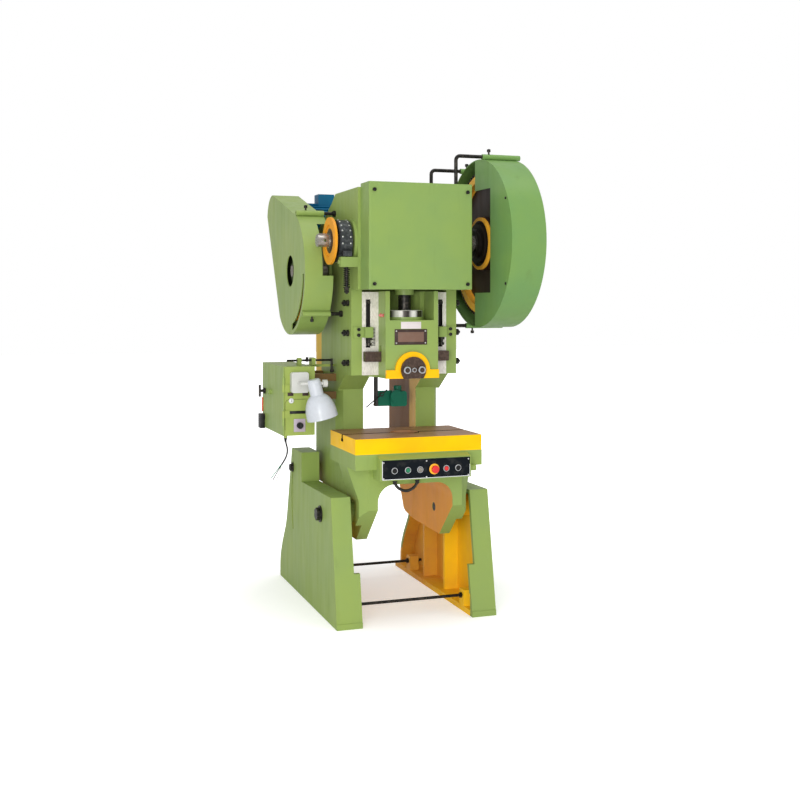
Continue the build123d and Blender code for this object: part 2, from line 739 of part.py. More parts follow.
def gear_outline(teeth, middle, steps, centred_on):
    """Points round a spur gear whose first tooth is centred on an angle, in degrees."""
    pitch = gear_module * teeth / 2
    radii = [pitch - dedendum + (addendum + dedendum) * step / steps for step in range(steps + 1)]
    points = []
    for tooth in range(teeth):
        axis = math.radians(centred_on) + 2 * math.pi * tooth / teeth
        flank = [(radius, tooth_half_angle(teeth, radius)) for radius in radii]
        for radius, half in flank:
            points.append((middle[0] + radius * math.cos(axis - half), middle[1] + radius * math.sin(axis - half)))
        for radius, half in reversed(flank):
            points.append((middle[0] + radius * math.cos(axis + half), middle[1] + radius * math.sin(axis + half)))
    return points


mesh_angle = math.degrees(math.atan2(shaft_height - crank_height, shaft_y - die_y))
gear_web_in = 150
gear_web_out = 352
gear_hub_r = 118
with BuildPart() as bull_gear:
    with BuildSketch(Plane.YZ.offset(gear_left)):
        with BuildLine():
            Polyline(*gear_outline(gear_teeth, (die_y, crank_height), 1, mesh_angle), close=True)
        make_face()
    extrude(amount=gear_width)
    for face in (gear_left - 1, gear_left + gear_width - 33):
        with BuildSketch(Plane.YZ.offset(face)):
            with Locations((die_y, crank_height)):
                Circle(gear_web_out)
                Circle(gear_web_in, mode=Mode.SUBTRACT)
        extrude(amount=34, mode=Mode.SUBTRACT)
    bar_x(gear_left, gear_left + gear_width + 12, die_y, crank_height, gear_hub_r)
    bar_x(gear_left - 1, gear_left + gear_width + 13, die_y, crank_height, journal_r + run_gap, mode=Mode.SUBTRACT)
save(bull_gear, "bull_gear")

clutch_ring_r = 144
clutch_left = 398
with BuildPart() as clutch_hub:
    bar_x(gear_left - 16, gear_left, die_y, crank_height, clutch_ring_r)
    bar_x(gear_left - 17, gear_left - 8, die_y, crank_height, clutch_ring_r - 26, mode=Mode.SUBTRACT)
    bar_x(gear_left - 30, gear_left - 7, die_y, crank_height, clutch_ring_r - 34)
    bar_x(clutch_left, gear_left - 7, die_y, crank_height, 78)
    bar_x(clutch_left - 1, gear_left + 1, die_y, crank_height, journal_r + run_gap, mode=Mode.SUBTRACT)
    chamfer(clutch_hub.faces().sort_by(Axis.X)[0].outer_wire().edges(), 6)
save(clutch_hub, "clutch_hub")

with BuildPart() as drive_pinion:
    with BuildSketch(Plane.YZ.offset(gear_left + 2)):
        with BuildLine():
            Polyline(*gear_outline(pinion_teeth, (shaft_y, shaft_height), 3,
                                   mesh_angle + 180 + 180 / pinion_teeth), close=True)
        make_face()
        with Locations((shaft_y, shaft_height)):
            Circle(shaft_r + run_gap, mode=Mode.SUBTRACT)
    extrude(amount=gear_width - 4)
save(drive_pinion, "drive_pinion")

with BuildPart() as drive_shaft:
    bar_x(flywheel_left - 10, gear_left + gear_width + 10, shaft_y, shaft_height, shaft_r)
save(drive_shaft, "drive_shaft")

# Flywheel with two belt grooves in its rim
belt_width = 17
belt_thick = 11
belt_spacing = 25
groove_side = 0.4
groove_deep = 13
flywheel_right = flywheel_left + flywheel_width
belt_middle = (flywheel_left + flywheel_right) / 2
belt_places = (belt_middle - belt_spacing / 2, belt_middle + belt_spacing / 2)
with BuildPart() as flywheel:
    bar_x(flywheel_left, flywheel_right, shaft_y, shaft_height, flywheel_r)
    for face in (flywheel_left - 1, flywheel_right - 24):
        with BuildSketch(Plane.YZ.offset(face)):
            with Locations((shaft_y, shaft_height)):
                Circle(flywheel_r - 52)
                Circle(62, mode=Mode.SUBTRACT)
        extrude(amount=25, mode=Mode.SUBTRACT)
    for place in belt_places:
        with BuildSketch(Plane.YZ.offset(place - belt_width / 2 - groove_side)):
            with Locations((shaft_y, shaft_height)):
                Circle(flywheel_r + 1)
                Circle(flywheel_r - groove_deep, mode=Mode.SUBTRACT)
        extrude(amount=belt_width + 2 * groove_side, mode=Mode.SUBTRACT)
    bar_x(flywheel_left - 1, flywheel_right + 1, shaft_y, shaft_height, shaft_r + run_gap, mode=Mode.SUBTRACT)
save(flywheel, "flywheel")

motor_shaft_r = 14
with BuildPart() as motor_pulley:
    bar_x(flywheel_left, flywheel_right, motor_y, motor_height, pulley_r)
    for place in belt_places:
        with BuildSketch(Plane.YZ.offset(place - belt_width / 2 - groove_side)):
            with Locations((motor_y, motor_height)):
                Circle(pulley_r + 1)
                Circle(pulley_r - groove_deep, mode=Mode.SUBTRACT)
        extrude(amount=belt_width + 2 * groove_side, mode=Mode.SUBTRACT)
    bar_x(flywheel_left - 1, flywheel_right + 1, motor_y, motor_height, motor_shaft_r + run_gap, mode=Mode.SUBTRACT)
save(motor_pulley, "motor_pulley")

belt_lift = 0.5
with BuildPart() as drive_belts:
    for place in belt_places:
        with BuildSketch(Plane.YZ.offset(place - belt_width / 2)):
            with Locations((shaft_y, shaft_height)):
                Circle(flywheel_r - groove_deep + belt_lift + belt_thick)
            with Locations((motor_y, motor_height)):
                Circle(pulley_r - groove_deep + belt_lift + belt_thick)
            make_hull()
            offset(amount=-belt_thick, mode=Mode.SUBTRACT)
        extrude(amount=belt_width)
save(drive_belts, "drive_belts")

# Motor on a bracket at the frame's back
motor_left = -372
motor_right = -92
shaft_in = -330
with BuildPart() as motor_shaft:
    bar_x(flywheel_left - 6, shaft_in, motor_y, motor_height, motor_shaft_r)
save(motor_shaft, "motor_shaft")

motor_foot_drop = 112
fin_count = 28
with BuildPart() as motor:
    bar_x(motor_left + 22, motor_right - 46, motor_y, motor_height, motor_r - 12)
    bar_x(motor_left, motor_left + 24, motor_y, motor_height, motor_r - 4)
    bar_x(motor_right - 50, motor_right, motor_y, motor_height, motor_r)
    block((motor_left + 40, motor_right - 70), (motor_y - 88, motor_y + 88),
          (motor_height - motor_foot_drop, motor_height - motor_foot_drop + 14))
    block((motor_left + 40, motor_right - 70), (motor_y - 60, motor_y + 60),
          (motor_height - motor_foot_drop + 13, motor_height - 60))
    block((motor_left + 106, motor_left + 204), (motor_y - 46, motor_y + 46), (motor_height + 80, motor_height + 158))
    with Locations(Location((motor_left + 23, motor_y, motor_height), along_x)):
        with PolarLocations(motor_r - 10, fin_count):
            Box(14, 2.5, motor_right - motor_left - 72, align=(Align.CENTER, Align.CENTER, Align.MIN))
    bar_x(motor_left - 1, shaft_in + 1, motor_y, motor_height, motor_shaft_r + run_gap, mode=Mode.SUBTRACT)
save(motor, "motor")

bracket_plate = 18
bracket_left = motor_left + 14
bracket_right = -130
bracket_rear = motor_y + 100
bracket_top = motor_height - motor_foot_drop
with BuildPart() as motor_bracket:
    block((bracket_left + 60, bracket_right), (frame_rear, frame_rear + bracket_plate), (1840, bracket_top))
    block((bracket_left, bracket_right), (frame_rear, bracket_rear), (bracket_top - bracket_plate, bracket_top))
    for gusset_x in (-296, -146):
        with BuildSketch(Plane.YZ.offset(gusset_x)):
            with BuildLine():
                Polyline(
                    (frame_rear, bracket_top),
                    (bracket_rear - 20, bracket_top),
                    (frame_rear + bracket_plate, 1860),
                    (frame_rear, 1860),
                    close=True,
                )
            make_face()
        extrude(amount=12)
save(motor_bracket, "motor_bracket")

# Connecting rod upright below the pin, and the ball-ended adjusting screw in it
rod_half = web_inner - 1
rod_hub_low = ball_height + 209
big_end_r = 88
screw_top = ball_height + 347
with BuildPart() as connecting_rod:
    bar_x(-rod_half, rod_half, die_y, pin_height, big_end_r)
    with BuildSketch(Plane.XZ.offset(-die_y)):
        with BuildLine():
            Polyline(
                (-rod_half, pin_height),
                (rod_half, pin_height),
                (44, rod_hub_low + 60),
                (-44, rod_hub_low + 60),
                close=True,
            )
        make_face()
    extrude(amount=42, both=True)
    bar_z(rod_hub_low, rod_hub_low + 90, 0, die_y, 52)
    bar_x(-rod_half - 1, rod_half + 1, die_y, pin_height, pin_r + run_gap, mode=Mode.SUBTRACT)
    bar_z(rod_hub_low - 1, screw_top + 10, 0, die_y, neck_r + run_gap, mode=Mode.SUBTRACT)
save(connecting_rod, "connecting_rod")

with BuildPart() as adjusting_screw:
    bar_z(ball_height, screw_top, 0, die_y, neck_r)
    with Locations((0, die_y, ball_height)):
        Sphere(ball_r)
    for level in (ball_height + 149, ball_height + 197):
        with Locations(Location((0, die_y, level), along_x)):
            Cylinder(6, 90, mode=Mode.SUBTRACT)
save(adjusting_screw, "adjusting_screw")

# Front cover of the crank space
cover_screw = hexagon(18, 9)
cover_inset = 28
with BuildPart() as crank_cover:
    block(mirrored(cover_half), (cover_front, head_front), (cover_bottom, cover_top))
    fillet(crank_cover.edges().filter_by(Axis.Z).group_by(Axis.Y)[0], 7)
    block(mirrored(cover_half - sheet), (cover_front + sheet, head_front + 1), (cover_bottom + sheet, cover_top - sheet),
          mode=Mode.SUBTRACT)
    for screw_x in mirrored(cover_half - cover_inset):
        for level in (cover_bottom + cover_inset, cover_top - cover_inset - 14):
            bar_y(cover_front - 1, cover_front + 10, screw_x, level, 6 + run_gap, mode=Mode.SUBTRACT)
save(crank_cover, "crank_cover")

# Guards: sheet drums clamped by their tubes on round bars of the frame
guard_bar_r = 10
guard_tube_r = 15
tube_offset = guard_tube_r - 1
gear_guard_r = 462
gear_guard_left = 424
gear_guard_right = 620
pinion_guard_r = 112
gear_tube_r = gear_guard_r + tube_offset
front_bar_y = die_y - 92
back_bar_y = die_y + 220
low_bar_y = die_y + 138


def over_gear(y, way):
    """The height of a clamp tube that lies on the gear guard's rim at a depth y."""
    return crank_height + way * math.sqrt(gear_tube_r ** 2 - (y - die_y) ** 2)


gear_tubes = (
    (front_bar_y, over_gear(front_bar_y, 1), 1),
    (back_bar_y, over_gear(back_bar_y, 1), 1),
    (low_bar_y, over_gear(low_bar_y, -1), -1),
)
notch_low = 1724
notch_high = 2287
half_plate_edge = die_y + 27
with BuildPart() as gear_guard:
    with BuildSketch(Plane.YZ.offset(gear_guard_left)):
        with Locations((die_y, crank_height)):
            Circle(gear_guard_r)
        with Locations((shaft_y, shaft_height)):
            Circle(pinion_guard_r)
        make_hull()
    extrude(amount=gear_guard_right - gear_guard_left)
    with BuildSketch(Plane.YZ.offset(gear_guard_left - 1)):
        with Locations((die_y, crank_height)):
            Circle(gear_guard_r - guard_sheet)
        with Locations((shaft_y, shaft_height)):
            Circle(pinion_guard_r - guard_sheet)
        make_hull()
    extrude(amount=gear_guard_right - gear_guard_left - guard_sheet + 1, mode=Mode.SUBTRACT)
    with BuildSketch(Plane.YZ.offset(gear_guard_left)):
        with Locations((die_y, crank_height)):
            Circle(gear_guard_r)
        with Locations((half_plate_edge + 500, crank_height)):
            Rectangle(1000, 2 * gear_guard_r + 2, mode=Mode.SUBTRACT)
        with Locations((die_y - 182 + 105, (notch_low + notch_high) / 2)):
            Rectangle(212, notch_high - notch_low, mode=Mode.SUBTRACT)
    extrude(amount=guard_sheet)
    for tube_y, tube_z, way in gear_tubes:
        bar_x(gear_guard_left - 9, gear_guard_right + 18, tube_y, tube_z, guard_tube_r)
    for tube_y, tube_z, way in gear_tubes:
        bar_x(gear_guard_left - 10, gear_guard_right + 19, tube_y, tube_z, guard_bar_r + seat_gap, mode=Mode.SUBTRACT)
        bar_z(*sorted((tube_z, tube_z + way * 20)), 455, tube_y, 5 + run_gap, mode=Mode.SUBTRACT)
save(gear_guard, "gear_guard")

wheel_guard_left = -525
wheel_guard_right = -368
wheel_guard_step = -428
wheel_guard_r = 345
wheel_guard_y = die_y + 450
wheel_guard_z = 1835
wheel_guard_start = 114
wheel_guard_sweep = 201
wheel_end = math.radians(wheel_guard_start + wheel_guard_sweep)
wheel_start = math.radians(wheel_guard_start)
wheel_corner = (wheel_guard_y + wheel_guard_r * math.cos(wheel_start),
                wheel_guard_z + wheel_guard_r * math.sin(wheel_start))
wheel_foot = (wheel_guard_y + wheel_guard_r * math.cos(wheel_end), wheel_guard_z + wheel_guard_r * math.sin(wheel_end))
wheel_apex = (die_y + 874, 2310)
wheel_back = (die_y + 1022, 2190)
wheel_turn = (die_y + 985, 2270)
wheel_tubes = (
    (wheel_corner[0] - 3, wheel_corner[1] + tube_offset, 1),
    (wheel_guard_y + (wheel_guard_r + tube_offset) * math.cos(math.radians(219)),
     wheel_guard_z + (wheel_guard_r + tube_offset) * math.sin(math.radians(219)), -1),
)
with BuildPart() as flywheel_guard:
    with BuildSketch(Plane.YZ.offset(wheel_guard_left)):
        with BuildLine():
            CenterArc((wheel_guard_y, wheel_guard_z), wheel_guard_r, wheel_guard_start, wheel_guard_sweep)
            Line(wheel_corner, wheel_apex)
            ThreePointArc(wheel_apex, wheel_turn, wheel_back)
            Line(wheel_back, wheel_foot)
        make_face()
    extrude(amount=wheel_guard_right - wheel_guard_left)
    with BuildSketch(Plane.YZ.offset(wheel_guard_left + guard_sheet)):
        with BuildLine():
            CenterArc((wheel_guard_y, wheel_guard_z), wheel_guard_r, wheel_guard_start, wheel_guard_sweep)
            Line(wheel_corner, wheel_apex)
            ThreePointArc(wheel_apex, wheel_turn, wheel_back)
            Line(wheel_back, wheel_foot)
        make_face()
        offset(amount=-guard_sheet, mode=Mode.REPLACE)
    extrude(amount=wheel_guard_right - wheel_guard_left, mode=Mode.SUBTRACT)
    block((wheel_guard_step, wheel_guard_right + 1), (wheel_guard_y - 400, wheel_guard_y),
          (wheel_guard_z - 20, wheel_guard_z + 265), mode=Mode.SUBTRACT)
    bar_x(wheel_guard_left - 1, wheel_guard_left + 6, shaft_y, shaft_height, 88, mode=Mode.SUBTRACT)
    with BuildSketch(Plane.YZ.offset(wheel_guard_left - 1)):
        with Locations((wheel_guard_y, wheel_guard_z)):
            Circle(wheel_guard_r - 22)
        with Locations((wheel_guard_y + 14, wheel_guard_z + 16)):
            Circle(wheel_guard_r - 38, mode=Mode.SUBTRACT)
        with Locations((wheel_guard_y + 205, wheel_guard_z)):
            Rectangle(500, 900, mode=Mode.SUBTRACT)
        with Locations((wheel_guard_y, wheel_guard_z + 190)):
            Rectangle(900, 400, mode=Mode.SUBTRACT)
    extrude(amount=guard_sheet + 2, mode=Mode.SUBTRACT)
    for tube_y, tube_z, way in wheel_tubes:
        bar_x(wheel_guard_left, wheel_guard_right, tube_y, tube_z, guard_tube_r)
    for tube_y, tube_z, way in wheel_tubes:
        bar_x(wheel_guard_left - 1, wheel_guard_right + 1, tube_y, tube_z, guard_bar_r + seat_gap, mode=Mode.SUBTRACT)
        bar_z(*sorted((tube_z, tube_z + way * 20)), -470, tube_y, 5 + run_gap, mode=Mode.SUBTRACT)
save(flywheel_guard, "flywheel_guard")

bar_end = 604
collar_r = 17
collar_long = 14
with BuildPart() as guard_bars:
    for bar_left, (tube_y, tube_z, way) in ((262, gear_tubes[0]), (238, gear_tubes[1])):
        with BuildLine() as bent:
            FilletPolyline((bar_left, tube_y, head_top), (bar_left, tube_y, tube_z), (bar_end, tube_y, tube_z),
                           radius=24)
        with BuildSketch(Plane(origin=(bar_left, tube_y, head_top), z_dir=(0, 0, 1))):
            Circle(guard_bar_r)
        sweep()
        bar_z(head_top, head_top + collar_long, bar_left, tube_y, collar_r)
    bar_x(frame_half, bar_end, gear_tubes[2][0], gear_tubes[2][1], guard_bar_r)
    bar_x(frame_half, frame_half + collar_long, gear_tubes[2][0], gear_tubes[2][1], collar_r)
    for tube_y, tube_z, way in wheel_tubes:
        bar_x(wheel_guard_left + 4, -frame_half, tube_y, tube_z, guard_bar_r)
        bar_x(-frame_half - collar_long, -frame_half, tube_y, tube_z, collar_r)
save(guard_bars, "guard_bars")

with BuildPart() as cover_screws:
    for screw_x in mirrored(cover_half - cover_inset):
        for level in (cover_bottom + cover_inset, cover_top - cover_inset - 14):
            bar_y(cover_front, head_front, screw_x, level, 6)
            with Locations(Location((screw_x, cover_front, level), against_y)):
                add(cover_screw)
    for screw_x, tubes in ((455, gear_tubes), (-470, wheel_tubes)):
        for tube_y, tube_z, way in tubes:
            bar_z(*sorted((tube_z + way * guard_bar_r, tube_z + way * 44)), screw_x, tube_y, 5)
            bar_z(*sorted((tube_z + way * 28, tube_z + way * 42)), screw_x, tube_y, 10)
save(cover_screws, "cover_screws")

# Control box below the bolster, with its panel and buttons
box_left = -236
box_right = 262
box_front = die_y - 302
box_low = 762
box_high = 872
panel_thick = 3
panel_face = box_front - panel_thick
button_level = 813
button_r = 11
button_room = 17
button_places = {"left_button": -162, "start_button": -90, "stop_button": 121, "right_button": 187}
selector_x = -23
mushroom_x = 54
button_gap = 0.3
button_travel = 5
all_places = (*button_places.values(), selector_x, mushroom_x)
with BuildPart() as control_box:
    with BuildSketch(Plane.YZ.offset(box_left)):
        with BuildLine():
            Polyline(
                (box_front, box_low),
                (box_front, box_high),
                (bolster_front, box_high + 14),
                (bolster_front, bed_underside),
                (body_front, bed_underside),
                (body_front, box_low),
                close=True,
            )
        make_face()
    extrude(amount=box_right - box_left)
    for place in all_places:
        bar_y(box_front - 1, box_front + 40, place, button_level, button_room, mode=Mode.SUBTRACT)
    for place in (0, -124):
        bar_z(box_low - 9, box_low + 1, place, die_y - 200, 14)
    bar_x(box_right - 1, box_right + 44, die_y - 255, box_low + 40, 16)
save(control_box, "control_box")

with BuildPart() as control_panel:
    block((box_left + 8, box_right - 8), (panel_face, box_front), (box_low + 5, box_high - 5))
    block((box_left + 8, box_right - 8), (panel_face - 2, panel_face + 1), (box_low + 5, box_high - 5))
    block((box_left + 13, box_right - 13), (panel_face - 3, panel_face), (box_low + 10, box_high - 10),
          mode=Mode.SUBTRACT)
    for place in all_places:
        bar_y(panel_face - 5, panel_face, place, button_level, button_r + 4)
    bar_y(panel_face - 4, panel_face, mushroom_x, button_level, 25)
    for place in all_places:
        bar_y(panel_face - 6, box_front + 1, place, button_level, button_r + button_gap, mode=Mode.SUBTRACT)
save(control_panel, "control_panel")

for button_name, place in button_places.items():
    with BuildPart() as push_button:
        bar_y(panel_face - 9, box_front + 22, place, button_level, button_r)
        fillet(push_button.edges().group_by(Axis.Y)[0], 1.5)
        bar_y(box_front + 6, box_front + 22, place, button_level, button_r + 3)
    save(push_button, button_name)

with BuildPart() as emergency_button:
    bar_y(panel_face - 30, panel_face - 15, mushroom_x, button_level, 20)
    fillet(emergency_button.edges().group_by(Axis.Y)[0], 6)
    bar_y(panel_face - 16, box_front + 22, mushroom_x, button_level, button_r)
    bar_y(box_front + 8, box_front + 22, mushroom_x, button_level, button_r + 3)
save(emergency_button, "emergency_button")

with BuildPart() as key_selector:
    bar_y(panel_face - 8, box_front + 20, selector_x, button_level, button_r)
    bar_y(box_front + 1, box_front + 20, selector_x, button_level, button_r + 3)
    block((selector_x - 1.5, selector_x + 1.5), (panel_face - 9, panel_face - 4), (button_level - 7, button_level + 7),
          mode=Mode.SUBTRACT)
save(key_selector, "key_selector")

# Conduit that leaves the box's floor, loops down and goes back in
conduit_r = 8
conduit_route = [
    (0, die_y - 200, box_low - 9),
    (0, die_y - 200, box_low - 39),
    (-28, die_y - 204, box_low - 64),
    (-64, die_y - 206, box_low - 74),
    (-99, die_y - 203, box_low - 62),
    (-124, die_y - 200, box_low - 37),
    (-124, die_y - 200, box_low - 9),
]


def route_radii(route):
    """The bend radius at each inner point of a route: 0.45 of the shorter run over the tangent of half the turn."""
    radii = []
    for before, here, after in zip(route, route[1:], route[2:]):
        run_in = Vector(*here) - Vector(*before)
        run_out = Vector(*after) - Vector(*here)
        half_turn = math.radians(run_in.get_angle(run_out)) / 2
        radii.append(0.45 * min(run_in.length, run_out.length) / math.tan(half_turn))
    return radii


conduit_radii = route_radii(conduit_route)
print("conduit radii", [round(radius, 1) for radius in conduit_radii])
with BuildPart() as control_conduit:
    with BuildLine() as conduit_path:
        FilletPolyline(*conduit_route, radius=conduit_radii)
    with BuildSketch(Plane(origin=conduit_route[0], z_dir=Vector(*conduit_route[1]) - Vector(*conduit_route[0]))):
        Circle(conduit_r)
    sweep()
save(control_conduit, "control_conduit")

# Electrical cabinet on arms at the frame's left, with a hinged door on its outer side
cab_left = -625
cab_right = -454
cab_front = die_y + 170
cab_rear = die_y + 679
cab_low = 955
cab_high = 1326
cab_wall = 3
hinge_x = cab_left - 4
hinge_y = cab_front - 7
knuckle_r = 7
hinge_pin_r = 3
knuckles = ((1010, 1050, 1090), (1270, 1230, 1190))
switch_x = -540
switch_z = 1010
gland_x = -608
gland_y = die_y + 205
arm_places = (die_y + 290, die_y + 560)
trip_y = die_y + 300
trip_z = 1352
trip_r = 6
with BuildPart() as cabinet:
    block((cab_left, cab_right), (cab_front, cab_rear), (cab_low, cab_high))
    block((cab_left - 1, cab_right - cab_wall), (cab_front + cab_wall, cab_rear - cab_wall),
          (cab_low + cab_wall, cab_high - cab_wall), mode=Mode.SUBTRACT)
    for arm_y in arm_places:
        for level in (cab_high - 190, cab_high - 90):
            block((cab_right - 1, -frame_half), (arm_y, arm_y + 46), (level, level + 40))
    block((switch_x - 31, switch_x + 31), (cab_front - 4, cab_front + 1), (switch_z - 34, switch_z + 34))
    bar_y(cab_front - 5, cab_front + 4, switch_x, switch_z, 8 + run_gap, mode=Mode.SUBTRACT)
    bar_z(cab_low - 14, cab_low + 1, gland_x, gland_y, 9)
    bar_z(cab_low - 15, cab_low + 4, gland_x, gland_y, 4.7, mode=Mode.SUBTRACT)
    for outer_end, joint_end, inner_end in knuckles:
        pin_span = sorted((outer_end, inner_end))
        own_span = sorted((joint_end + math.copysign(0.3, inner_end - outer_end), inner_end))
        bar_z(pin_span[0], pin_span[1], hinge_x, hinge_y, hinge_pin_r)
        bar_z(own_span[0], own_span[1], hinge_x, hinge_y, knuckle_r)
        block((hinge_x, hinge_x + 34), (hinge_y - 1, cab_front + 1), own_span)
    # Bearings of the trip shaft, one on the cabinet's roof and one on an arm from the frame
    block((-520, -498), (trip_y - 16, trip_y + 16), (cab_high - 1, trip_z + 14))
    block((-440, -418), (trip_y - 16, trip_y + 50), (cab_high, trip_z + 14))
    block((-455, -frame_half), (trip_y + 26, trip_y + 50), (cab_high - 12, cab_high + 1))
    bar_x(-530, -400, trip_y, trip_z, trip_r + run_gap, mode=Mode.SUBTRACT)
save(cabinet, "cabinet")

door_thick = 4
handle_y = die_y + 612
handle_z = 1166
handle_r = 8
with BuildPart() as cabinet_door:
    block((cab_left - seat_gap - door_thick, cab_left - seat_gap), (hinge_y, cab_rear), (cab_low, cab_high))
    for outer_end, joint_end, inner_end in knuckles:
        span = sorted((outer_end, joint_end))
        bar_z(span[0], span[1], hinge_x, hinge_y, knuckle_r)
        own_span = sorted((joint_end, inner_end + math.copysign(1, inner_end - outer_end)))
        block((hinge_x - 10, hinge_x + 10), (hinge_y - 1, hinge_y + 8.5), own_span, mode=Mode.SUBTRACT)
    bar_z(cab_low - 1, cab_high + 1, hinge_x, hinge_y, hinge_pin_r + run_gap, mode=Mode.SUBTRACT)
    block((cab_left - 30, cab_left - 4), (cab_rear - 62, cab_rear), (cab_low - 4, cab_low + 76))
    block((cab_left - 9, cab_left - 4), (cab_rear - 14, cab_rear), (cab_low + 88, cab_low + 168))
    bar_x(cab_left - 20, cab_left - 4, die_y + 470, handle_z + 4, 14)
    bar_x(cab_left - 30, cab_left + 1, handle_y, handle_z, handle_r + run_gap, mode=Mode.SUBTRACT)
save(cabinet_door, "cabinet_door")

with BuildPart() as door_handle:
    bar_x(cab_left - 36, cab_left + 8, handle_y, handle_z, handle_r)
    bar_x(cab_left - 14, cab_left - seat_gap - door_thick - seat_gap, handle_y, handle_z, 17)
    bar_z(handle_z - 34, handle_z + 34, cab_left - 36, handle_y, 7)
    block((cab_left + 3, cab_left + 8), (handle_y - 9, handle_y + 9), (handle_z - 32, handle_z + 12))
save(door_handle, "door_handle")

with BuildPart() as main_switch:
    bar_y(cab_front - 24, cab_front - 4 - seat_gap, switch_x, switch_z, 17)
    block((switch_x - 5, switch_x + 5), (cab_front - 34, cab_front - 23), (switch_z - 16, switch_z + 16))
    bar_y(cab_front - 24, cab_front + 26, switch_x, switch_z, 8)
save(main_switch, "main_switch")

# Mains lead: a short tail hanging from the cabinet's gland
cable_r = 4.5
cable_route = [
    (gland_x, gland_y, cab_low - 14),
    (gland_x + 2, gland_y + 2, cab_low - 42),
    (gland_x + 13, gland_y + 8, cab_low - 72),
    (gland_x + 12, gland_y + 12, cab_low - 104),
    (gland_x, gland_y + 15, cab_low - 134),
    (gland_x - 17, gland_y + 19, cab_low - 160),
]
cable_radii = route_radii(cable_route)
print("cable radii", [round(radius, 1) for radius in cable_radii])
with BuildPart() as mains_cable:
    with BuildLine() as cable_path:
        FilletPolyline(*cable_route, radius=cable_radii)
    with BuildSketch(Plane(origin=cable_route[0], z_dir=Vector(*cable_route[1]) - Vector(*cable_route[0]))):
        Circle(cable_r)
    sweep()
save(mains_cable, "mains_cable")

# Work lamp on the cabinet's front
lamp_y = die_y + 70
lamp_z = 1240
lamp_x = -484
lamp_rod_r = 9
lamp_tilt = 14
shade_top_r = 36
shade_rim_r = 84
shade_wall = 2.5
with BuildPart() as lamp_base:
    block((-592, -498), (cab_front - 42, cab_front), (1187, 1297))
    chamfer(lamp_base.edges().filter_by(Axis.Y), 8)
    bar_y(lamp_y, cab_front - 40, -552, lamp_z, lamp_rod_r)
    bar_x(-552 - lamp_rod_r, lamp_x + 66, lamp_y, lamp_z, lamp_rod_r)
    bar_x(lamp_x + 46, lamp_x + 70, lamp_y, lamp_z, 20)
save(lamp_base, "lamp_base")

shade_axis = Location((lamp_x, lamp_y, lamp_z), (0, -lamp_tilt, 0))
with BuildPart() as lamp_shade:
    with BuildSketch(Plane(shade_axis) * Plane.XZ):
        with BuildLine():
            Polyline((0, 22), (shade_top_r - 6, 22), (shade_top_r, 14), (shade_top_r, -62))
            Spline((shade_top_r, -62), (66, -95), (81, -140), (shade_rim_r, -190),
                   tangents=((1, -0.6), (0.05, -1)))
            Line((shade_rim_r, -190), (shade_rim_r - shade_wall, -190))
            Spline((shade_rim_r - shade_wall, -190), (81 - shade_wall, -141), (64, -97),
                   (shade_top_r - shade_wall, -65), tangents=((-0.05, 1), (-1, 0.6)))
            Polyline((shade_top_r - shade_wall, -65), (shade_top_r - shade_wall, -16), (0, -16), (0, 22))
        make_face()
    revolve(axis=Axis((lamp_x, lamp_y, lamp_z), shade_axis.z_axis.direction))
    bar_x(lamp_x - 100, lamp_x + 100, lamp_y, lamp_z, lamp_rod_r + run_gap, mode=Mode.SUBTRACT)
save(lamp_shade, "lamp_shade")

# Oil pump hung from the left column by two flat bars, with a thin hand lever
pump_left = -46
pump_right = 84
pump_front = die_y + 196
pump_rear = die_y + 262
pump_low = 1092
pump_high = 1206
pump_pivot_x = -62
pump_pivot_z = 1160
with BuildPart() as oil_pump:
    block((pump_left + 34, pump_right), (pump_front, pump_rear), (pump_low, pump_high - 30))
    chamfer(oil_pump.edges().filter_by(Axis.Y), 9)
    bar_y(pump_front - 8, pump_front + 20, 20, 1150, 34)
    bar_z(pump_high - 40, pump_high, 40, (pump_front + pump_rear) / 2, 22)
    block((pump_pivot_x - 16, pump_left + 50), (pump_front + 20, pump_front + 34), (1104, 1180))
    for bar_front in (pump_front + 20, pump_front + 54):
        block((-92, -80), (bar_front, bar_front + 6), (1096, 1272))
    block((-gap_half, -80), (pump_front + 20, die_y + 330), (1262, 1272))
    block((-94, pump_left + 40), (pump_front + 20, pump_front + 60), (1094, 1106))
    bar_y(pump_front + 4, pump_front + 22, pump_pivot_x, pump_pivot_z, 5)
save(oil_pump, "oil_pump")

with BuildPart() as pump_lever:
    bar_y(pump_front + 8, pump_front + 19, pump_pivot_x, pump_pivot_z, 12)
    with Locations(Location((pump_pivot_x, pump_front + 13, pump_pivot_z), (0, -128, 0))):
        Cylinder(3, 112, align=(Align.CENTER, Align.CENTER, Align.MIN))
    with Locations(Location((pump_pivot_x, pump_front + 13, pump_pivot_z), (0, 52, 0))):
        Cylinder(3, 44, align=(Align.CENTER, Align.CENTER, Align.MIN))
    bar_y(pump_front + 3, pump_front + 25, pump_pivot_x, pump_pivot_z, 5 + run_gap, mode=Mode.SUBTRACT)
save(pump_lever, "pump_lever")

# Clutch trip shaft across the top of the cabinet
with BuildPart() as trip_shaft:
    bar_x(-578, -319, trip_y, trip_z, trip_r)
    block((-328, -319), (trip_y - 10, trip_y + 10), (trip_z - 70, trip_z + 8))
    bar_x(-332, -312, trip_y, trip_z - 60, 7)
    block((-470, -458), (trip_y - 9, trip_y + 9), (trip_z - 8, trip_z + 18))
save(trip_shaft, "trip_shaft")
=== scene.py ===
"""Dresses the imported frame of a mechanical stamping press: finishes, small pieces, cords and a stage."""
import math
from functools import partial

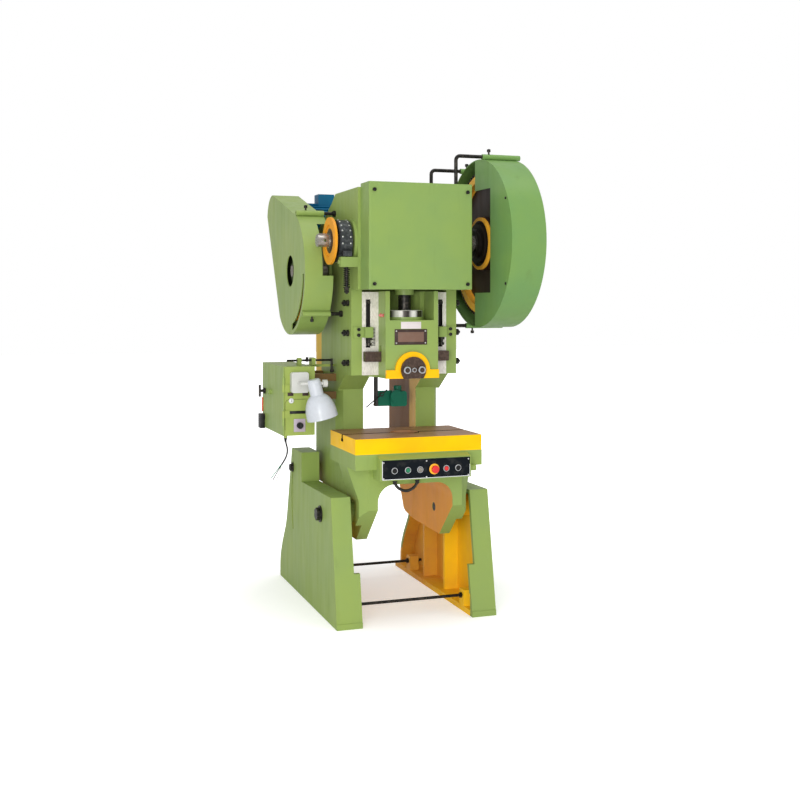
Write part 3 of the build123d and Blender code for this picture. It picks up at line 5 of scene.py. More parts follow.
import bpy
import numpy as np
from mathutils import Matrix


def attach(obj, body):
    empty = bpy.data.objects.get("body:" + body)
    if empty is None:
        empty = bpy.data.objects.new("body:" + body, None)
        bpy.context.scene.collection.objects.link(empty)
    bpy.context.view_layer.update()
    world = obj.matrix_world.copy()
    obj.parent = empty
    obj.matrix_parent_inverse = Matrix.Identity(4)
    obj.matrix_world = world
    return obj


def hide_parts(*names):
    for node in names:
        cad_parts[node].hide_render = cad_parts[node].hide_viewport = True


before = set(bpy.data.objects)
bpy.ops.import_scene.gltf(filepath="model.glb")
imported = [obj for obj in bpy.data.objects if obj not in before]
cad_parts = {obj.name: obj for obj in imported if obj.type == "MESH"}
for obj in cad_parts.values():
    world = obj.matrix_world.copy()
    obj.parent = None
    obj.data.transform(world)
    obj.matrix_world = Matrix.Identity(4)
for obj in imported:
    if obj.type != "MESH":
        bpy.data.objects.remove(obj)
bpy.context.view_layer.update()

bl_info = {
    "name": "Stamping press dressing",
    "version": (1, 0, 0),
    "blender": (4, 5, 0),
    "location": "View3D > Sidebar > Press",
    "description": "Finishes and small pieces for the packed frame of a stamping press",
    "category": "Object",
}

# Places that several pieces share, in metres, in the frame of the CAD model
DIE_Y = -0.4055
SLIDE_FACE = DIE_Y - 0.120
GUIDE_FACE = DIE_Y - 0.002
PANEL_FACE = DIE_Y - 0.305
BUTTON_Z = 0.813
CABINET_FACE = DIE_Y + 0.170
CABINET_BACK = DIE_Y + 0.679
DOOR_FACE = -0.629
CRANK_Z = 1.996
DRUM_RADIUS = 0.1113
CLAMP_FACE = DIE_Y - 0.148
CLAMP_Z = 1.315
GUARD_SIDE = 0.424

# Where one paint ends and the next begins, in metres
LEG_MIDDLE = (0.0, 0.2, 0.32)
CRANK_MIDDLE = (0.0, DIE_Y, CRANK_Z)
SHAFT_MIDDLE = (0.0, 0.0381, 1.847)
LEG_WALL_X = 0.4188
THROAT_FOOT_Z = 0.80
THROAT_TOP_Z = 1.30
ARM_END_X = -0.4535
PUMP_BAR_X = -0.078
GEAR_RIM = (0.340, 0.391)
HUB_FACE_RADIUS = 0.126
WHEEL_WEB_RADIUS = 0.229
CAM_FACE_RADIUS = 0.066
DROP_HOLE_RADIUS = 0.084


def colour(code):
    """Linear red, green, blue and alpha from an sRGB hex code."""
    parts = [int(code[at:at + 2], 16) / 255 for at in (1, 3, 5)]
    linear = [part / 12.92 if part <= 0.04045 else ((part + 0.055) / 1.055) ** 2.4 for part in parts]
    return (*linear, 1.0)


def node(tree, kind, inputs=(), **settings):
    """A node of a kind, with its settings, and with values or links for its inputs.

    A node among the inputs is linked by its first output.
    """
    made = tree.nodes.new(kind)
    for name, value in settings.items():
        setattr(made, name, value)
    for place, value in dict(inputs).items():
        source = value.outputs[0] if isinstance(value, bpy.types.Node) else value
        if isinstance(source, bpy.types.NodeSocket):
            tree.links.new(source, made.inputs[place])
        else:
            made.inputs[place].default_value = source
    return made


def new_material(name, looks=()):
    """A node material, its tree, its shader with values for its looks, and the node of its coordinates."""
    material = bpy.data.materials.new(name)
    material.use_nodes = True
    tree = material.node_tree
    tree.nodes.clear()
    shader = node(tree, "ShaderNodeBsdfPrincipled", looks)
    node(tree, "ShaderNodeOutputMaterial", {"Surface": shader})
    place = node(tree, "ShaderNodeTexCoord")
    return material, tree, shader, place


def grains(tree, place, size_mm, detail=2.0, stretch=(1, 1, 1)):
    """A pattern of grains that are size_mm across, drawn out along the axes by stretch."""
    scale = [1000 / (size_mm * along) for along in stretch]
    mapped = node(tree, "ShaderNodeMapping", {"Vector": place.outputs["Object"], "Scale": scale})
    return node(tree, "ShaderNodeTexNoise", {"Vector": mapped, "Scale": 1.0, "Detail": detail})


def blended(tree, measure, low, high, first, second, most=1.0):
    """The first colour, which gives way to the second, by most, as a measure goes from low to high."""
    share = node(tree, "ShaderNodeMapRange", {0: measure, 1: low, 2: high, 4: most})
    ends = [colour(end) if isinstance(end, str) else end for end in (first, second)]
    return node(tree, "ShaderNodeMix", {0: share, 6: ends[0], 7: ends[1]}, data_type="RGBA").outputs[2]


def surfaced(tree, shader, paint, gloss, bumps=None, depth=0.0):
    """Gives the shader its colour, its roughness and perhaps a height map whose depth is in metres.

    gloss is a measure, its low and high, and the roughness at each of them.
    """
    rough = node(tree, "ShaderNodeMapRange", dict(enumerate(gloss)))
    tree.links.new(paint, shader.inputs["Base Color"])
    tree.links.new(rough.outputs[0], shader.inputs["Roughness"])
    if bumps is not None:
        bump = node(tree, "ShaderNodeBump", {"Height": bumps, "Distance": depth, "Strength": 1.0})
        tree.links.new(bump.outputs[0], shader.inputs["Normal"])


def together(tree, operation, parts):
    """Several numbers or masks made one by an operation, taken in turn."""
    whole = parts[0]
    for part in parts[1:]:
        whole = node(tree, "ShaderNodeMath", {0: whole, 1: part}, operation=operation)
    return whole


def within(tree, *limits):
    """A mask that is one where each measure lies between its low and its high limit; None is no limit."""
    tests = []
    for measure, low, high in limits:
        if low is not None:
            tests.append(node(tree, "ShaderNodeMath", {0: measure, 1: low}, operation="GREATER_THAN"))
        if high is not None:
            tests.append(node(tree, "ShaderNodeMath", {0: measure, 1: high}, operation="LESS_THAN"))
    return together(tree, "MULTIPLY", tests)


def away_from(tree, place, middle, square=(0, 1, 1)):
    """The way to a point from an axis through a middle: one in square for the two directions square to it."""
    way = node(tree, "ShaderNodeVectorMath", {0: place.outputs["Object"], 1: middle}, operation="SUBTRACT")
    return node(tree, "ShaderNodeVectorMath", {0: way, 1: square}, operation="MULTIPLY")


def nearer(tree, place, middle, radius, square=(0, 1, 1)):
    """A mask that is one within a radius of the axis that away_from takes."""
    way = away_from(tree, place, middle, square)
    reach = node(tree, "ShaderNodeVectorMath", {0: way}, operation="LENGTH")
    return within(tree, (reach.outputs["Value"], None, radius))


def brushed_primer(tree, place, along, lit_end, shaded_end, bright, shade_and_pool_colour):
    """Hand-brushed primer, with painted shade that darkens it along a range, and duller where it pooled."""
    # Painted shade: the primer goes from its lit colour at one end to its shaded colour at the other
    depth = node(tree, "ShaderNodeMapRange", {0: along, 1: lit_end, 2: shaded_end, 4: 0.75})
    pooled = node(tree, "ShaderNodeMapRange", {0: grains(tree, place, 150, 3.0), 1: 0.4, 2: 0.65, 4: 0.25})
    return blended(tree, together(tree, "ADD", (depth, pooled)), 0, 1, bright, shade_and_pool_colour)


def leg_inside(tree, place):
    """The hollow of a leg: the walls that look towards its middle, its ribs and the inside of its foot."""
    where = node(tree, "ShaderNodeSeparateXYZ", {0: place.outputs["Object"]}).outputs
    facing = node(tree, "ShaderNodeSeparateXYZ", {0: place.outputs["Normal"]}).outputs
    beside = node(tree, "ShaderNodeMath", {0: where["X"]}, operation="ABSOLUTE")
    # A wall looks towards the leg's middle where the way from there to it is against the way that it faces
    ways = {0: away_from(tree, place, LEG_MIDDLE), 1: place.outputs["Normal"]}
    along_face = node(tree, "ShaderNodeVectorMath", ways, operation="DOT_PRODUCT").outputs["Value"]
    walls = within(tree, (beside, 0.3380, LEG_WALL_X), (along_face, None, 0.004), (where["Y"], -0.6165, None))
    ribs = within(tree, (beside, 0.330, LEG_WALL_X), (where["Y"], -0.45, 0.385), (where["Z"], 0.05, 0.62))
    foot = within(tree, (where["Z"], None, 0.118), (beside, None, LEG_WALL_X), (where["Y"], -0.595, None),
                  (facing["Y"], None, 0.5))
    # Painted shade: the primer inside the leg is lit near its front and darkens towards the rear of the
    # hollow
    primer = brushed_primer(tree, place, where["Y"], -0.12, 0.14, "#FFCE22", "#DA9A42")
    return together(tree, "MAXIMUM", (walls, ribs, foot)), primer


def frame_inside(tree, place):
    """The frame's inner sides below the slide, its throat above them in painted light and shade, and the band
    up its rear edge.
    """
    where = node(tree, "ShaderNodeSeparateXYZ", {0: place.outputs["Object"]}).outputs
    facing = node(tree, "ShaderNodeSeparateXYZ", {0: place.outputs["Normal"]}).outputs
    side = node(tree, "ShaderNodeMath", {0: where["X"]}, operation="SIGN")
    outwards = together(tree, "MULTIPLY", (facing["X"], side))
    inner, outer = (outwards, None, -0.2), (outwards, -0.2, None)
    arch = within(tree, inner, (where["Z"], None, THROAT_FOOT_Z), (where["Y"], DIE_Y - 0.176, None))
    throat = within(tree, inner, (where["Z"], THROAT_FOOT_Z, THROAT_TOP_Z))
    band = within(tree, outer, (where["Y"], 0.19, None), (where["Z"], 1.10, 1.75))
    # Painted shade: the primer on the frame's inner sides darkens towards the front
    primer = brushed_primer(tree, place, where["Y"], -0.1, -0.5, "#F8B23A", "#D9963C")
    # Painted light and shade: the throat's front strip is lightened as lit primer, and behind it the primer
    # is dark brown as the shade inside the column
    column = blended(tree, where["Y"], -0.06, -0.04, "#FFD07A", "#8E5F34")
    paint = blended(tree, throat, 0, 1, primer, column)
    paint = blended(tree, band, 0, 1, paint, "#E9BD34")
    return together(tree, "MAXIMUM", (arch, throat, band)), paint


def pump_bars(tree, place):
    """The dark oiled bars and blocks that the pump hangs on."""
    where = node(tree, "ShaderNodeSeparateXYZ", {0: place.outputs["Object"]}).outputs
    return within(tree, (where["X"], None, PUMP_BAR_X)), "#3B3B3C"


def gear_web(tree, place):
    """The gear's web and teeth in a dark colour, inside and outside its painted rim."""
    web, rim = [nearer(tree, place, CRANK_MIDDLE, radius) for radius in GEAR_RIM]
    teeth = node(tree, "ShaderNodeMath", {0: 1.0, 1: rim}, operation="SUBTRACT")
    dark_web_and_teeth = blended(tree, grains(tree, place, 50, 3.0), 0, 1, "#1E1510", "#35211A")
    return together(tree, "MAXIMUM", (web, teeth)), dark_web_and_teeth


def hub_disc(tree, place):
    """The clutch's black face inside its painted ring."""
    return nearer(tree, place, CRANK_MIDDLE, HUB_FACE_RADIUS), "#17120F"


def wheel_web(tree, place):
    """The flywheel's green web inside its painted rim."""
    return nearer(tree, place, SHAFT_MIDDLE, WHEEL_WEB_RADIUS), "#3E4A2C"


def cam_face(tree, place):
    """The cam's oily face inside its painted rim."""
    return nearer(tree, place, CRANK_MIDDLE, CAM_FACE_RADIUS), "#4A3A2C"


def cabinet_arms_primer_and_shade(tree, place):
    """The brown-primed arms between the cabinet and the column, darkened further as painted shade."""
    where = node(tree, "ShaderNodeSeparateXYZ", {0: place.outputs["Object"]}).outputs
    return within(tree, (where["X"], ARM_END_X, None), (where["Z"], None, THROAT_TOP_Z)), "#7A5E36"


def guide_slot(tree, place):
    """The slot down each guide, painted near black."""
    where = node(tree, "ShaderNodeSeparateXYZ", {0: place.outputs["Object"]}).outputs
    beside = node(tree, "ShaderNodeMath", {0: where["X"]}, operation="ABSOLUTE")
    cut = within(tree, (beside, 0.1945, 0.2195), (where["Y"], GUIDE_FACE + 0.0006, GUIDE_FACE + 0.0275))
    return cut, "#120F0E"


def ring_painted_reflection(tree, place):
    """The polished ring's sides, painted with dark upright bands as a reflection of the dark throat beside
    them.
    """
    facing = node(tree, "ShaderNodeSeparateXYZ", {0: place.outputs["Normal"]}).outputs
    turns = node(tree, "ShaderNodeMath", {0: facing["X"], 1: 7.5, 2: 3.4}, operation="MULTIPLY_ADD")
    waves = node(tree, "ShaderNodeMath", {0: turns}, operation="SINE")
    bands = node(tree, "ShaderNodeMapRange", {0: waves, 1: -0.9, 2: 0.55})
    return together(tree, "MULTIPLY", (within(tree, (facing["Z"], -0.5, 0.5)), bands)), "#2B2420"


def bolster_masks(tree, place):
    """Where the bolster is greased iron and not paint, and where its slot is dark."""
    where = node(tree, "ShaderNodeSeparateXYZ", {0: place.outputs["Object"]}).outputs
    facing = node(tree, "ShaderNodeSeparateXYZ", {0: place.outputs["Normal"]}).outputs
    upright = node(tree, "ShaderNodeMath", {0: facing["Z"]}, operation="ABSOLUTE")
    top = within(tree, (where["Z"], 0.9625, None), (upright, 0.5, None))
    inner = within(tree, (where["X"], -0.3405, 0.3405), (where["Y"], DIE_Y - 0.2385, DIE_Y + 0.2305),
                   (facing["X"], -0.6, 0.6))
    hole = nearer(tree, place, (0, DIE_Y, 0), DROP_HOLE_RADIUS, (1, 1, 0))
    slot = within(tree, (where["Y"], DIE_Y - 0.0195, DIE_Y + 0.0195), (where["Z"], 0.9345, 0.9718),
                  (facing["X"], -0.6, 0.6))
    return together(tree, "MAXIMUM", (top, inner, hole)), slot


def machine_enamel(name, body_hex, worn_hex, roughness=0.44, coat=0.06, second=None):
    """Alkyd machine enamel sprayed on filled iron or sheet: soft gloss, faint clouds of colour, orange peel.

    second is a function that gives a mask and the colour there, for a piece painted in two colours.
    """
    material, tree, shader, place = new_material(
        name, {"Coat Weight": coat, "Coat Roughness": 0.2, "Specular IOR Level": 0.2})
    paint = blended(tree, grains(tree, place, 260, 3.0), 0.35, 0.65, body_hex, worn_hex)
    if second is not None:
        mask, inside = second(tree, place)
        paint = blended(tree, mask, 0, 1, paint, inside)
    runs = grains(tree, place, 45, 3.0, (1, 1, 6))
    paint = blended(tree, runs, 0.62, 0.82, paint, "#4A4426", 0.14)
    # Real orange peel is 1 to 3 mm across, and is drawn at 6 mm and about 0.1 mm deep so that it shows
    peel = grains(tree, place, 6, 1.0)
    surfaced(tree, shader, paint, (runs, 0.3, 0.7, roughness - 0.06, roughness + 0.1), peel, 0.00012)
    return material


def ground_steel(name, tint_hex, roughness=0.32, marks=(1, 1, 1), oil=0.25, dark_hex="#8F8B84", metal=0.85,
                 second=None):
    """Bare ground or turned steel under a film of oil: fine grinding lines and brown oil clouds.

    marks draws the lines out along an axis, and second gives a mask and the colour there.
    """
    material, tree, shader, place = new_material(name, {"Metallic": metal})
    # Real grinding lines are a few tenths of a millimetre apart, and are drawn at 2.2 mm so that they show
    lines = grains(tree, place, 2.2, 2.0, marks)
    shade = blended(tree, lines, 0.35, 0.65, tint_hex, dark_hex)
    shade = blended(tree, grains(tree, place, 60, 4.0), 0.5, 0.7, shade, "#5A4A35", oil)
    if second is not None:
        mask, dark = second(tree, place)
        shade = blended(tree, mask, 0, 1, shade, dark)
    surfaced(tree, shader, shade, (lines, 0.3, 0.7, roughness - 0.06, roughness + 0.12), lines, 0.00005)
    return material


def blackened_steel(name, tint_hex="#1D1C1C", worn_hex="#4C463F", roughness=0.42):
    """Hot-blackened and oiled steel, or iron in dark paint: brighter and smoother where it is handled."""
    material, tree, shader, place = new_material(name, {"Metallic": 0.6})
    worn = grains(tree, place, 14, 4.0)
    shade = blended(tree, worn, 0.45, 0.75, tint_hex, worn_hex)
    pits = grains(tree, place, 3, 2.0)
    surfaced(tree, shader, shade, (worn, 0.45, 0.75, roughness, roughness - 0.12), pits, 0.00008)
    return material


def greased_iron(name):
    """Scraped cast iron under red-brown rust guard, with its outer sides in signal yellow enamel."""
    material, tree, shader, place = new_material(name, {"Specular IOR Level": 0.14})
    grease = grains(tree, place, 70, 4.0)
    iron = blended(tree, grease, 0.38, 0.66, "#A8764F", "#B88D6C")
    iron = blended(tree, grains(tree, place, 26, 3.0, (5, 1, 1)), 0.5, 0.8, iron, "#6E5C42", 0.6)
    enamel = blended(tree, grains(tree, place, 200, 2.0), 0.4, 0.6, "#FFC800", "#F6BC08")
    greased, slot = bolster_masks(tree, place)
    surface = blended(tree, greased, 0, 1, enamel, iron)
    surface = blended(tree, slot, 0, 1, surface, "#2A1E17")
    surfaced(tree, shader, surface, (grease, 0.38, 0.66, 0.34, 0.46), grains(tree, place, 9, 2.0), 0.0001)
    return material


def moulded(name, tint_hex, roughness=0.4, coat=0.0, grain_mm=1.5, shine=0.5):
    """Injection-moulded plastic or extruded rubber: one colour with a faint even grain and a little dust."""
    material, tree, shader, place = new_material(
        name, {"Coat Weight": coat, "Coat Roughness": 0.1, "Specular IOR Level": shine})
    grain = grains(tree, place, grain_mm, 2.0)
    dusty = blended(tree, grains(tree, place, 40, 3.0), 0.5, 0.8, tint_hex, "#8C8A80", 0.12)
    surfaced(tree, shader, dusty, (grain, 0.3, 0.7, roughness - 0.05, roughness + 0.08), grain, 0.00003)
    return material


def plated(name, tint_hex, roughness):
    """Bright plated metal, such as a screw: mirror-like with a little haze."""
    material, tree, shader, place = new_material(name, {"Metallic": 1.0})
    haze = grains(tree, place, 8, 2.0)
    shade = blended(tree, haze, 0, 1, tint_hex, "#D8D8DA")
    surfaced(tree, shader, shade, (haze, 0.3, 0.7, roughness, roughness + 0.1))
    return material


sheet_enamel = partial(machine_enamel, roughness=0.4, coat=0.1)

# What makes the material of each finish
MAKERS = {
    "enamel on legs": partial(
        machine_enamel, "green enamel on legs", "#90A556", "#8BA15A", second=leg_inside),
    "enamel on frame": partial(
        machine_enamel, "green enamel on frame", "#90A556", "#8BA15A", second=frame_inside),
    # Painted light: the cabinet's green is lighter than the same enamel elsewhere, for the light on its front
    "cabinet enamel": partial(
        machine_enamel, "green enamel on cabinet, lightened as painted light", "#9CAD57", "#95A85A", roughness=0.4, second=cabinet_arms_primer_and_shade),
    "enamel on sheet": partial(sheet_enamel, "green enamel on sheet", "#91A657", "#8AA25B"),
    # Painted shade: the cover's green is darker than the same enamel on the sheet, for the light that falls
    # on it
    "cover enamel": partial(sheet_enamel, "green enamel on the crank cover, darkened as painted shade", "#86A055", "#7F9B58"),
    # Painted shade: the guard's green is darker than the same enamel on the sheet, for the shade on it
    "guard enamel": partial(sheet_enamel, "green enamel on the gear guard, darkened as painted shade", "#759A54", "#6E9658"),
    # Painted light: the gear's yellow is lighter than the same enamel on the flywheel, to make up for the
    # shade inside its guard
    "gear enamel": partial(
        machine_enamel, "signal yellow enamel on the gear", "#FFC244", "#F4B440", second=gear_web),
    # Painted light: the hub's yellow ring is lighter than the same enamel on the flywheel, to make up for the
    # shade inside the guard
    "hub enamel": partial(
        machine_enamel, "signal yellow enamel on the hub, lightened as painted light", "#FFBA38", "#F2AC3A", second=hub_disc),
    "wheel enamel": partial(
        machine_enamel, "signal yellow enamel on the flywheel", "#F2A61C", "#E59A24", second=wheel_web),
    "cam enamel": partial(
        machine_enamel, "signal yellow enamel on the cam", "#F0A41E", "#E39826", second=cam_face),
    "band yellow": partial(machine_enamel, "bright yellow enamel", "#FFC400", "#FAB604"),
    "orange enamel": partial(machine_enamel, "orange-red enamel", "#E2581C", "#D24E1A"),
    "blue enamel": partial(machine_enamel, "blue motor enamel", "#0F6E96", "#0C5F86"),
    "teal enamel": partial(machine_enamel, "teal pump enamel", "#0F6B52", "#0B5C48", second=pump_bars),
    "guide steel": partial(
        ground_steel, "ground guide steel", "#F6F2EC", roughness=0.42, marks=(1, 1, 9), oil=0.18,
        dark_hex="#D6D0C8", metal=0.12, second=guide_slot),
    "ring steel": partial(
        ground_steel, "polished ring steel", "#F2F0EC", roughness=0.3, marks=(1, 1, 9), oil=0.1,
        dark_hex="#DAD8D4", metal=0.3, second=ring_painted_reflection),
    "shaft steel": partial(
        ground_steel, "turned shaft steel", "#B9B5AE", roughness=0.26, marks=(6, 1, 1), oil=0.4),
    "gear steel": partial(
        ground_steel, "greased gear steel", "#8E877A", roughness=0.36, marks=(6, 1, 1), oil=0.7),
    "black steel": partial(blackened_steel, "blackened steel"),
    "brown steel": partial(blackened_steel, "browned steel", "#4E3E37", "#6A574C"),
    "black iron": partial(blackened_steel, "painted brake iron", "#3A3D41", "#5C5E62", roughness=0.5),
    "greased iron": partial(greased_iron, "rust-guarded bolster iron"),
    "belt rubber": partial(moulded, "belt rubber", "#1B1A19", roughness=0.6),
    "sheath": partial(moulded, "cord sheath", "#161617", roughness=0.45),
    "panel": partial(moulded, "silk-finished panel", "#0B1118", roughness=0.6, shine=0.12),
    "black plastic": partial(moulded, "black moulded plastic", "#141416", shine=0.3),
    "red plastic": partial(moulded, "red moulded plastic", "#D81F1F", roughness=0.28, coat=0.3),
    "green plastic": partial(moulded, "green moulded plastic", "#117A52", roughness=0.28, coat=0.3),
    "yellow plastic": partial(moulded, "yellow moulded plastic", "#FFB81A", roughness=0.35),
    "white enamel": partial(
        moulded, "white baked enamel", "#C6CBD3", roughness=0.3, coat=0.25, grain_mm=8, shine=0.4),
    "paper": partial(moulded, "bare white label film", "#DDD3D6", roughness=0.5, shine=0.2),
    "grey plastic": partial(moulded, "light grey plastic", "#C9CAC6"),
    "lilac plate": partial(moulded, "anodised switch plate", "#B3A6B6"),
    "etched plate": partial(moulded, "etched plate", "#7A5D50", roughness=0.45, grain_mm=5, shine=0.3),
    "plate frame": partial(moulded, "dark plate frame", "#3F2E2A", roughness=0.45, shine=0.3),
    # Painted reflection: pale diffuse plastic stands in for the bright reflection of chrome on these rings
    # and bezels
    "pale ring plastic as painted chrome": partial(moulded, "pale plastic painted as a chrome reflection", "#E2E4E6", roughness=0.25, shine=0.7),
    "grey bezel plastic as painted chrome": partial(moulded, "grey plastic for the bezels, painted as a chrome reflection", "#B9BBBE", roughness=0.25, shine=0.7),
    "bright chrome": partial(plated, "bright chrome", "#DADCE0", roughness=0.12),
    "zinc": partial(plated, "zinc-plated steel", "#C4C6C2", roughness=0.3),
}
made_finishes = {}


def finish(key):
    """The material of a finish, made on its first use."""
    if key not in made_finishes:
        made_finishes[key] = MAKERS[key]()
    return made_finishes[key]


def shell_faces(rows, columns):
    """Quads between rows of points that close round, with a cap at each end."""
    row, column = np.meshgrid(np.arange(rows - 1), np.arange(columns), indexing="ij")
    here = row * columns + column
    beside = row * columns + (column + 1) % columns
    faces = np.stack([here, beside, beside + columns, here + columns], axis=-1).reshape(-1, 4).tolist()
    faces.append(list(range(columns))[::-1])
    faces.append([(rows - 1) * columns + step for step in range(columns)])
    return faces


def basis(direction):
    """Two unit vectors square to a direction and to each other, and the direction itself."""
    axis = np.asarray(direction, float) / np.linalg.norm(direction)
    helper = np.array([0.0, 0.0, 1.0]) if abs(axis[2]) < 0.9 else np.array([1.0, 0.0, 0.0])
    side = np.cross(helper, axis)
    side /= np.linalg.norm(side)
    return side, np.cross(axis, side), axis


def turned(start, direction, profile, count=40):
    """Points and faces of a turned piece: each (radius, height) of the profile swept once round the axis.

    Point = start + height * axis + radius * (cos a * side + sin a * up), with small caps at both ends.
    """
    side, up, axis = basis(direction)
    radius, height = np.array(profile, float).T
    angle = np.linspace(0, 2 * np.pi, count, endpoint=False)
    ring = np.cos(angle)[:, None] * side + np.sin(angle)[:, None] * up
    points = np.asarray(start) + height[:, None, None] * axis + radius[:, None, None] * ring[None]
    return points.reshape(-1, 3), shell_faces(len(profile), count)


def rounded_box(middle, size, radius, steps=4):
    """Points and faces of a box with rounded edges.

    A sphere's latitude and longitude are each split at their quarter turns, and every eighth of the sphere is
    moved out to its own corner: point = middle + sign * (half - radius) + radius * unit direction.
    """
    half = np.asarray(size, float) / 2
    radius = min(radius, *(half * 0.999))
    rise = np.radians(np.concatenate([np.linspace(-90, 0, steps), np.linspace(0, 90, steps)]))
    rise_sign = np.repeat([-1.0, 1.0], steps)
    turn = np.radians(np.concatenate([np.linspace(start, start + 90, steps) for start in (0, 90, 180, 270)]))
    turn_signs = np.repeat([[1, 1], [-1, 1], [-1, -1], [1, -1]], steps, axis=0)
    way = np.stack([np.cos(rise)[:, None] * np.cos(turn), np.cos(rise)[:, None] * np.sin(turn),
                    np.repeat(np.sin(rise)[:, None], len(turn), axis=1)], axis=-1)
    sign = np.stack([np.repeat(turn_signs[None, :, 0], len(rise), axis=0),
                     np.repeat(turn_signs[None, :, 1], len(rise), axis=0),
                     np.repeat(rise_sign[:, None], len(turn), axis=1)], axis=-1)
    points = np.asarray(middle) + sign * (half - radius) + radius * way
    return points.reshape(-1, 3), shell_faces(len(rise), len(turn))


def tube(path, radius, count):
    """Points and faces of a round tube: a circle square to the path's own direction at each of its points."""
    path = np.asarray(path, float)
    along = np.gradient(path, axis=0)
    along /= np.linalg.norm(along, axis=1)[:, None]
    helper = np.array([0.31, 0.87, 0.12])
    side = np.cross(helper, along)
    side /= np.linalg.norm(side, axis=1)[:, None]
    up = np.cross(along, side)
    angle = np.linspace(0, 2 * np.pi, count, endpoint=False)
    points = path[:, None] + radius * (np.cos(angle)[None, :, None] * side[:, None]
                                       + np.sin(angle)[None, :, None] * up[:, None])
    return points.reshape(-1, 3), shell_faces(len(path), count)


def joined(parts):
    """Several (points, faces) pairs as one."""
    points, faces, first = [], [], 0
    for some_points, some_faces in parts:
        points.append(np.asarray(some_points, float))
        faces.extend([[first + place for place in face] for face in some_faces])
        first += len(some_points)
    return np.concatenate(points), faces


def loose_piece(name, parts, key, body, smooth=True):
    """A mesh object from several closed shells with faces of any size."""
    points, faces = joined(parts)
    mesh = bpy.data.meshes.new(name)
    mesh.from_pydata(points.tolist(), [], faces)
    mesh.polygons.foreach_set("use_smooth", np.full(len(mesh.polygons), smooth))
    mesh.update()
    piece = bpy.data.objects.new(name, mesh)
    bpy.context.scene.collection.objects.link(piece)
    mesh.materials.append(finish(key))
    if smooth:
        mesh.set_sharp_from_angle(angle=math.radians(40))
    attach(piece, body)
    return piece


def box_piece(name, middle, size, radius, key, body, steps=3):
    """A mesh object that is one box with rounded edges."""
    return loose_piece(name, [rounded_box(middle, size, radius, steps)], key, body)


def cord_curve(name, route, radius, key, body):
    """A round cord on one NURBS spline whose control points are the route."""
    curve = bpy.data.curves.new(name, "CURVE")
    curve.dimensions = "3D"
    curve.bevel_depth = radius
    curve.bevel_resolution = 4
    curve.resolution_u = 10
    curve.use_fill_caps = True
    spline = curve.splines.new("NURBS")
    spline.points.add(len(route) - 1)
    spline.points.foreach_set("co", np.column_stack([route, np.ones(len(route))]).ravel())
    spline.order_u = 3
    spline.use_endpoint_u = True
    curve.materials.append(finish(key))
    piece = bpy.data.objects.new(name, curve)
    bpy.context.scene.collection.objects.link(piece)
    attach(piece, body)
    return piece


class PressSizes(bpy.types.PropertyGroup):
    """Sizes of the small pieces."""

    rivet_radius: bpy.props.FloatProperty(
        name="Rivet radius", description="Radius of a plate's rivets",
        default=0.0045, subtype="DISTANCE", unit="LENGTH")
    bezel_radius: bpy.props.FloatProperty(
        name="Bezel radius", description="Outer radius of a button's bezel",
        default=0.0165, subtype="DISTANCE", unit="LENGTH")
    tick_pitch: bpy.props.FloatProperty(
        name="Tick pitch", description="Step of the scale on the guide",
        default=0.0076, subtype="DISTANCE", unit="LENGTH")


class PressLook(bpy.types.PropertyGroup):
    """Light and ground."""

    floor_tone: bpy.props.FloatVectorProperty(
        name="Floor", description="Colour of the floor", default=(0.93, 0.93, 0.93), subtype="COLOR", size=3)
    key_power: bpy.props.FloatProperty(
        name="Key light", description="Power of the light from the front left; the others follow it",
        default=109.0, subtype="POWER", unit="POWER")


# Each light's name, place, size, share of the key light's power and tint
LIGHTS = (
    ("key", (-2.7, -6.1, 2.7), 3.4, 1.0, (1.0, 0.985, 0.94)),
    ("low", (-3.0, -5.4, 0.8), 1.8, 0.85, (1.0, 0.99, 0.95)),
    ("fill", (4.6, -4.6, 2.6), 3.2, 0.2, (0.95, 1.0, 0.98)),
    ("top", (0.4, -0.8, 5.4), 3.0, 0.50, (1.0, 1.0, 1.0)),
)
LIGHT_TARGET = (0.0, -0.2, 1.2)


def add_camera(scene):
    """The photograph's camera, level, with its lens shifted down."""
    camera = bpy.data.cameras.new("camera")
    camera.sensor_width = 36
    camera.lens = 50.9
    camera.shift_y = -0.124
    eye = bpy.data.objects.new("camera", camera)
    eye.location = (-2.036, -6.1625, 1.680)
    eye.rotation_euler = (math.radians(90), 0, math.radians(-19.25))
    scene.collection.objects.link(eye)
    scene.camera = eye


def add_floor(scene, tone):
    """A pale floor that the camera sees lifted to white, less near the press, where its shadow stays."""
    reach = 30.0
    floor = bpy.data.meshes.new("floor")
    corners = [(-reach, -reach, 0), (reach, -reach, 0), (reach, reach, 0), (-reach, reach, 0)]
    floor.from_pydata(corners, [], [(0, 1, 2, 3)])
    ground = bpy.data.objects.new("floor", floor)
    scene.collection.objects.link(ground)
    material, tree, shader, place = new_material(
        "pale floor", {"Roughness": 0.8, "Specular IOR Level": 0.1, "Emission Color": (1, 1, 1, 1)})
    darker = [part * 0.99 for part in tone]
    shade = blended(tree, grains(tree, place, 900, 2.0), 0, 1, (*tone, 1), (*darker, 1))
    tree.links.new(shade, shader.inputs["Base Color"])
    away = node(tree, "ShaderNodeVectorMath", {0: place.outputs["Object"]}, operation="LENGTH")
    whiter = node(tree, "ShaderNodeMapRange", {0: away.outputs["Value"], 1: 0.7, 2: 2.4, 3: 0.36, 4: 1.0})
    seen = node(tree, "ShaderNodeLightPath").outputs["Is Camera Ray"]
    lift = together(tree, "MULTIPLY", (seen, whiter))
    tree.links.new(lift.outputs[0], shader.inputs["Emission Strength"])
    floor.materials.append(material)


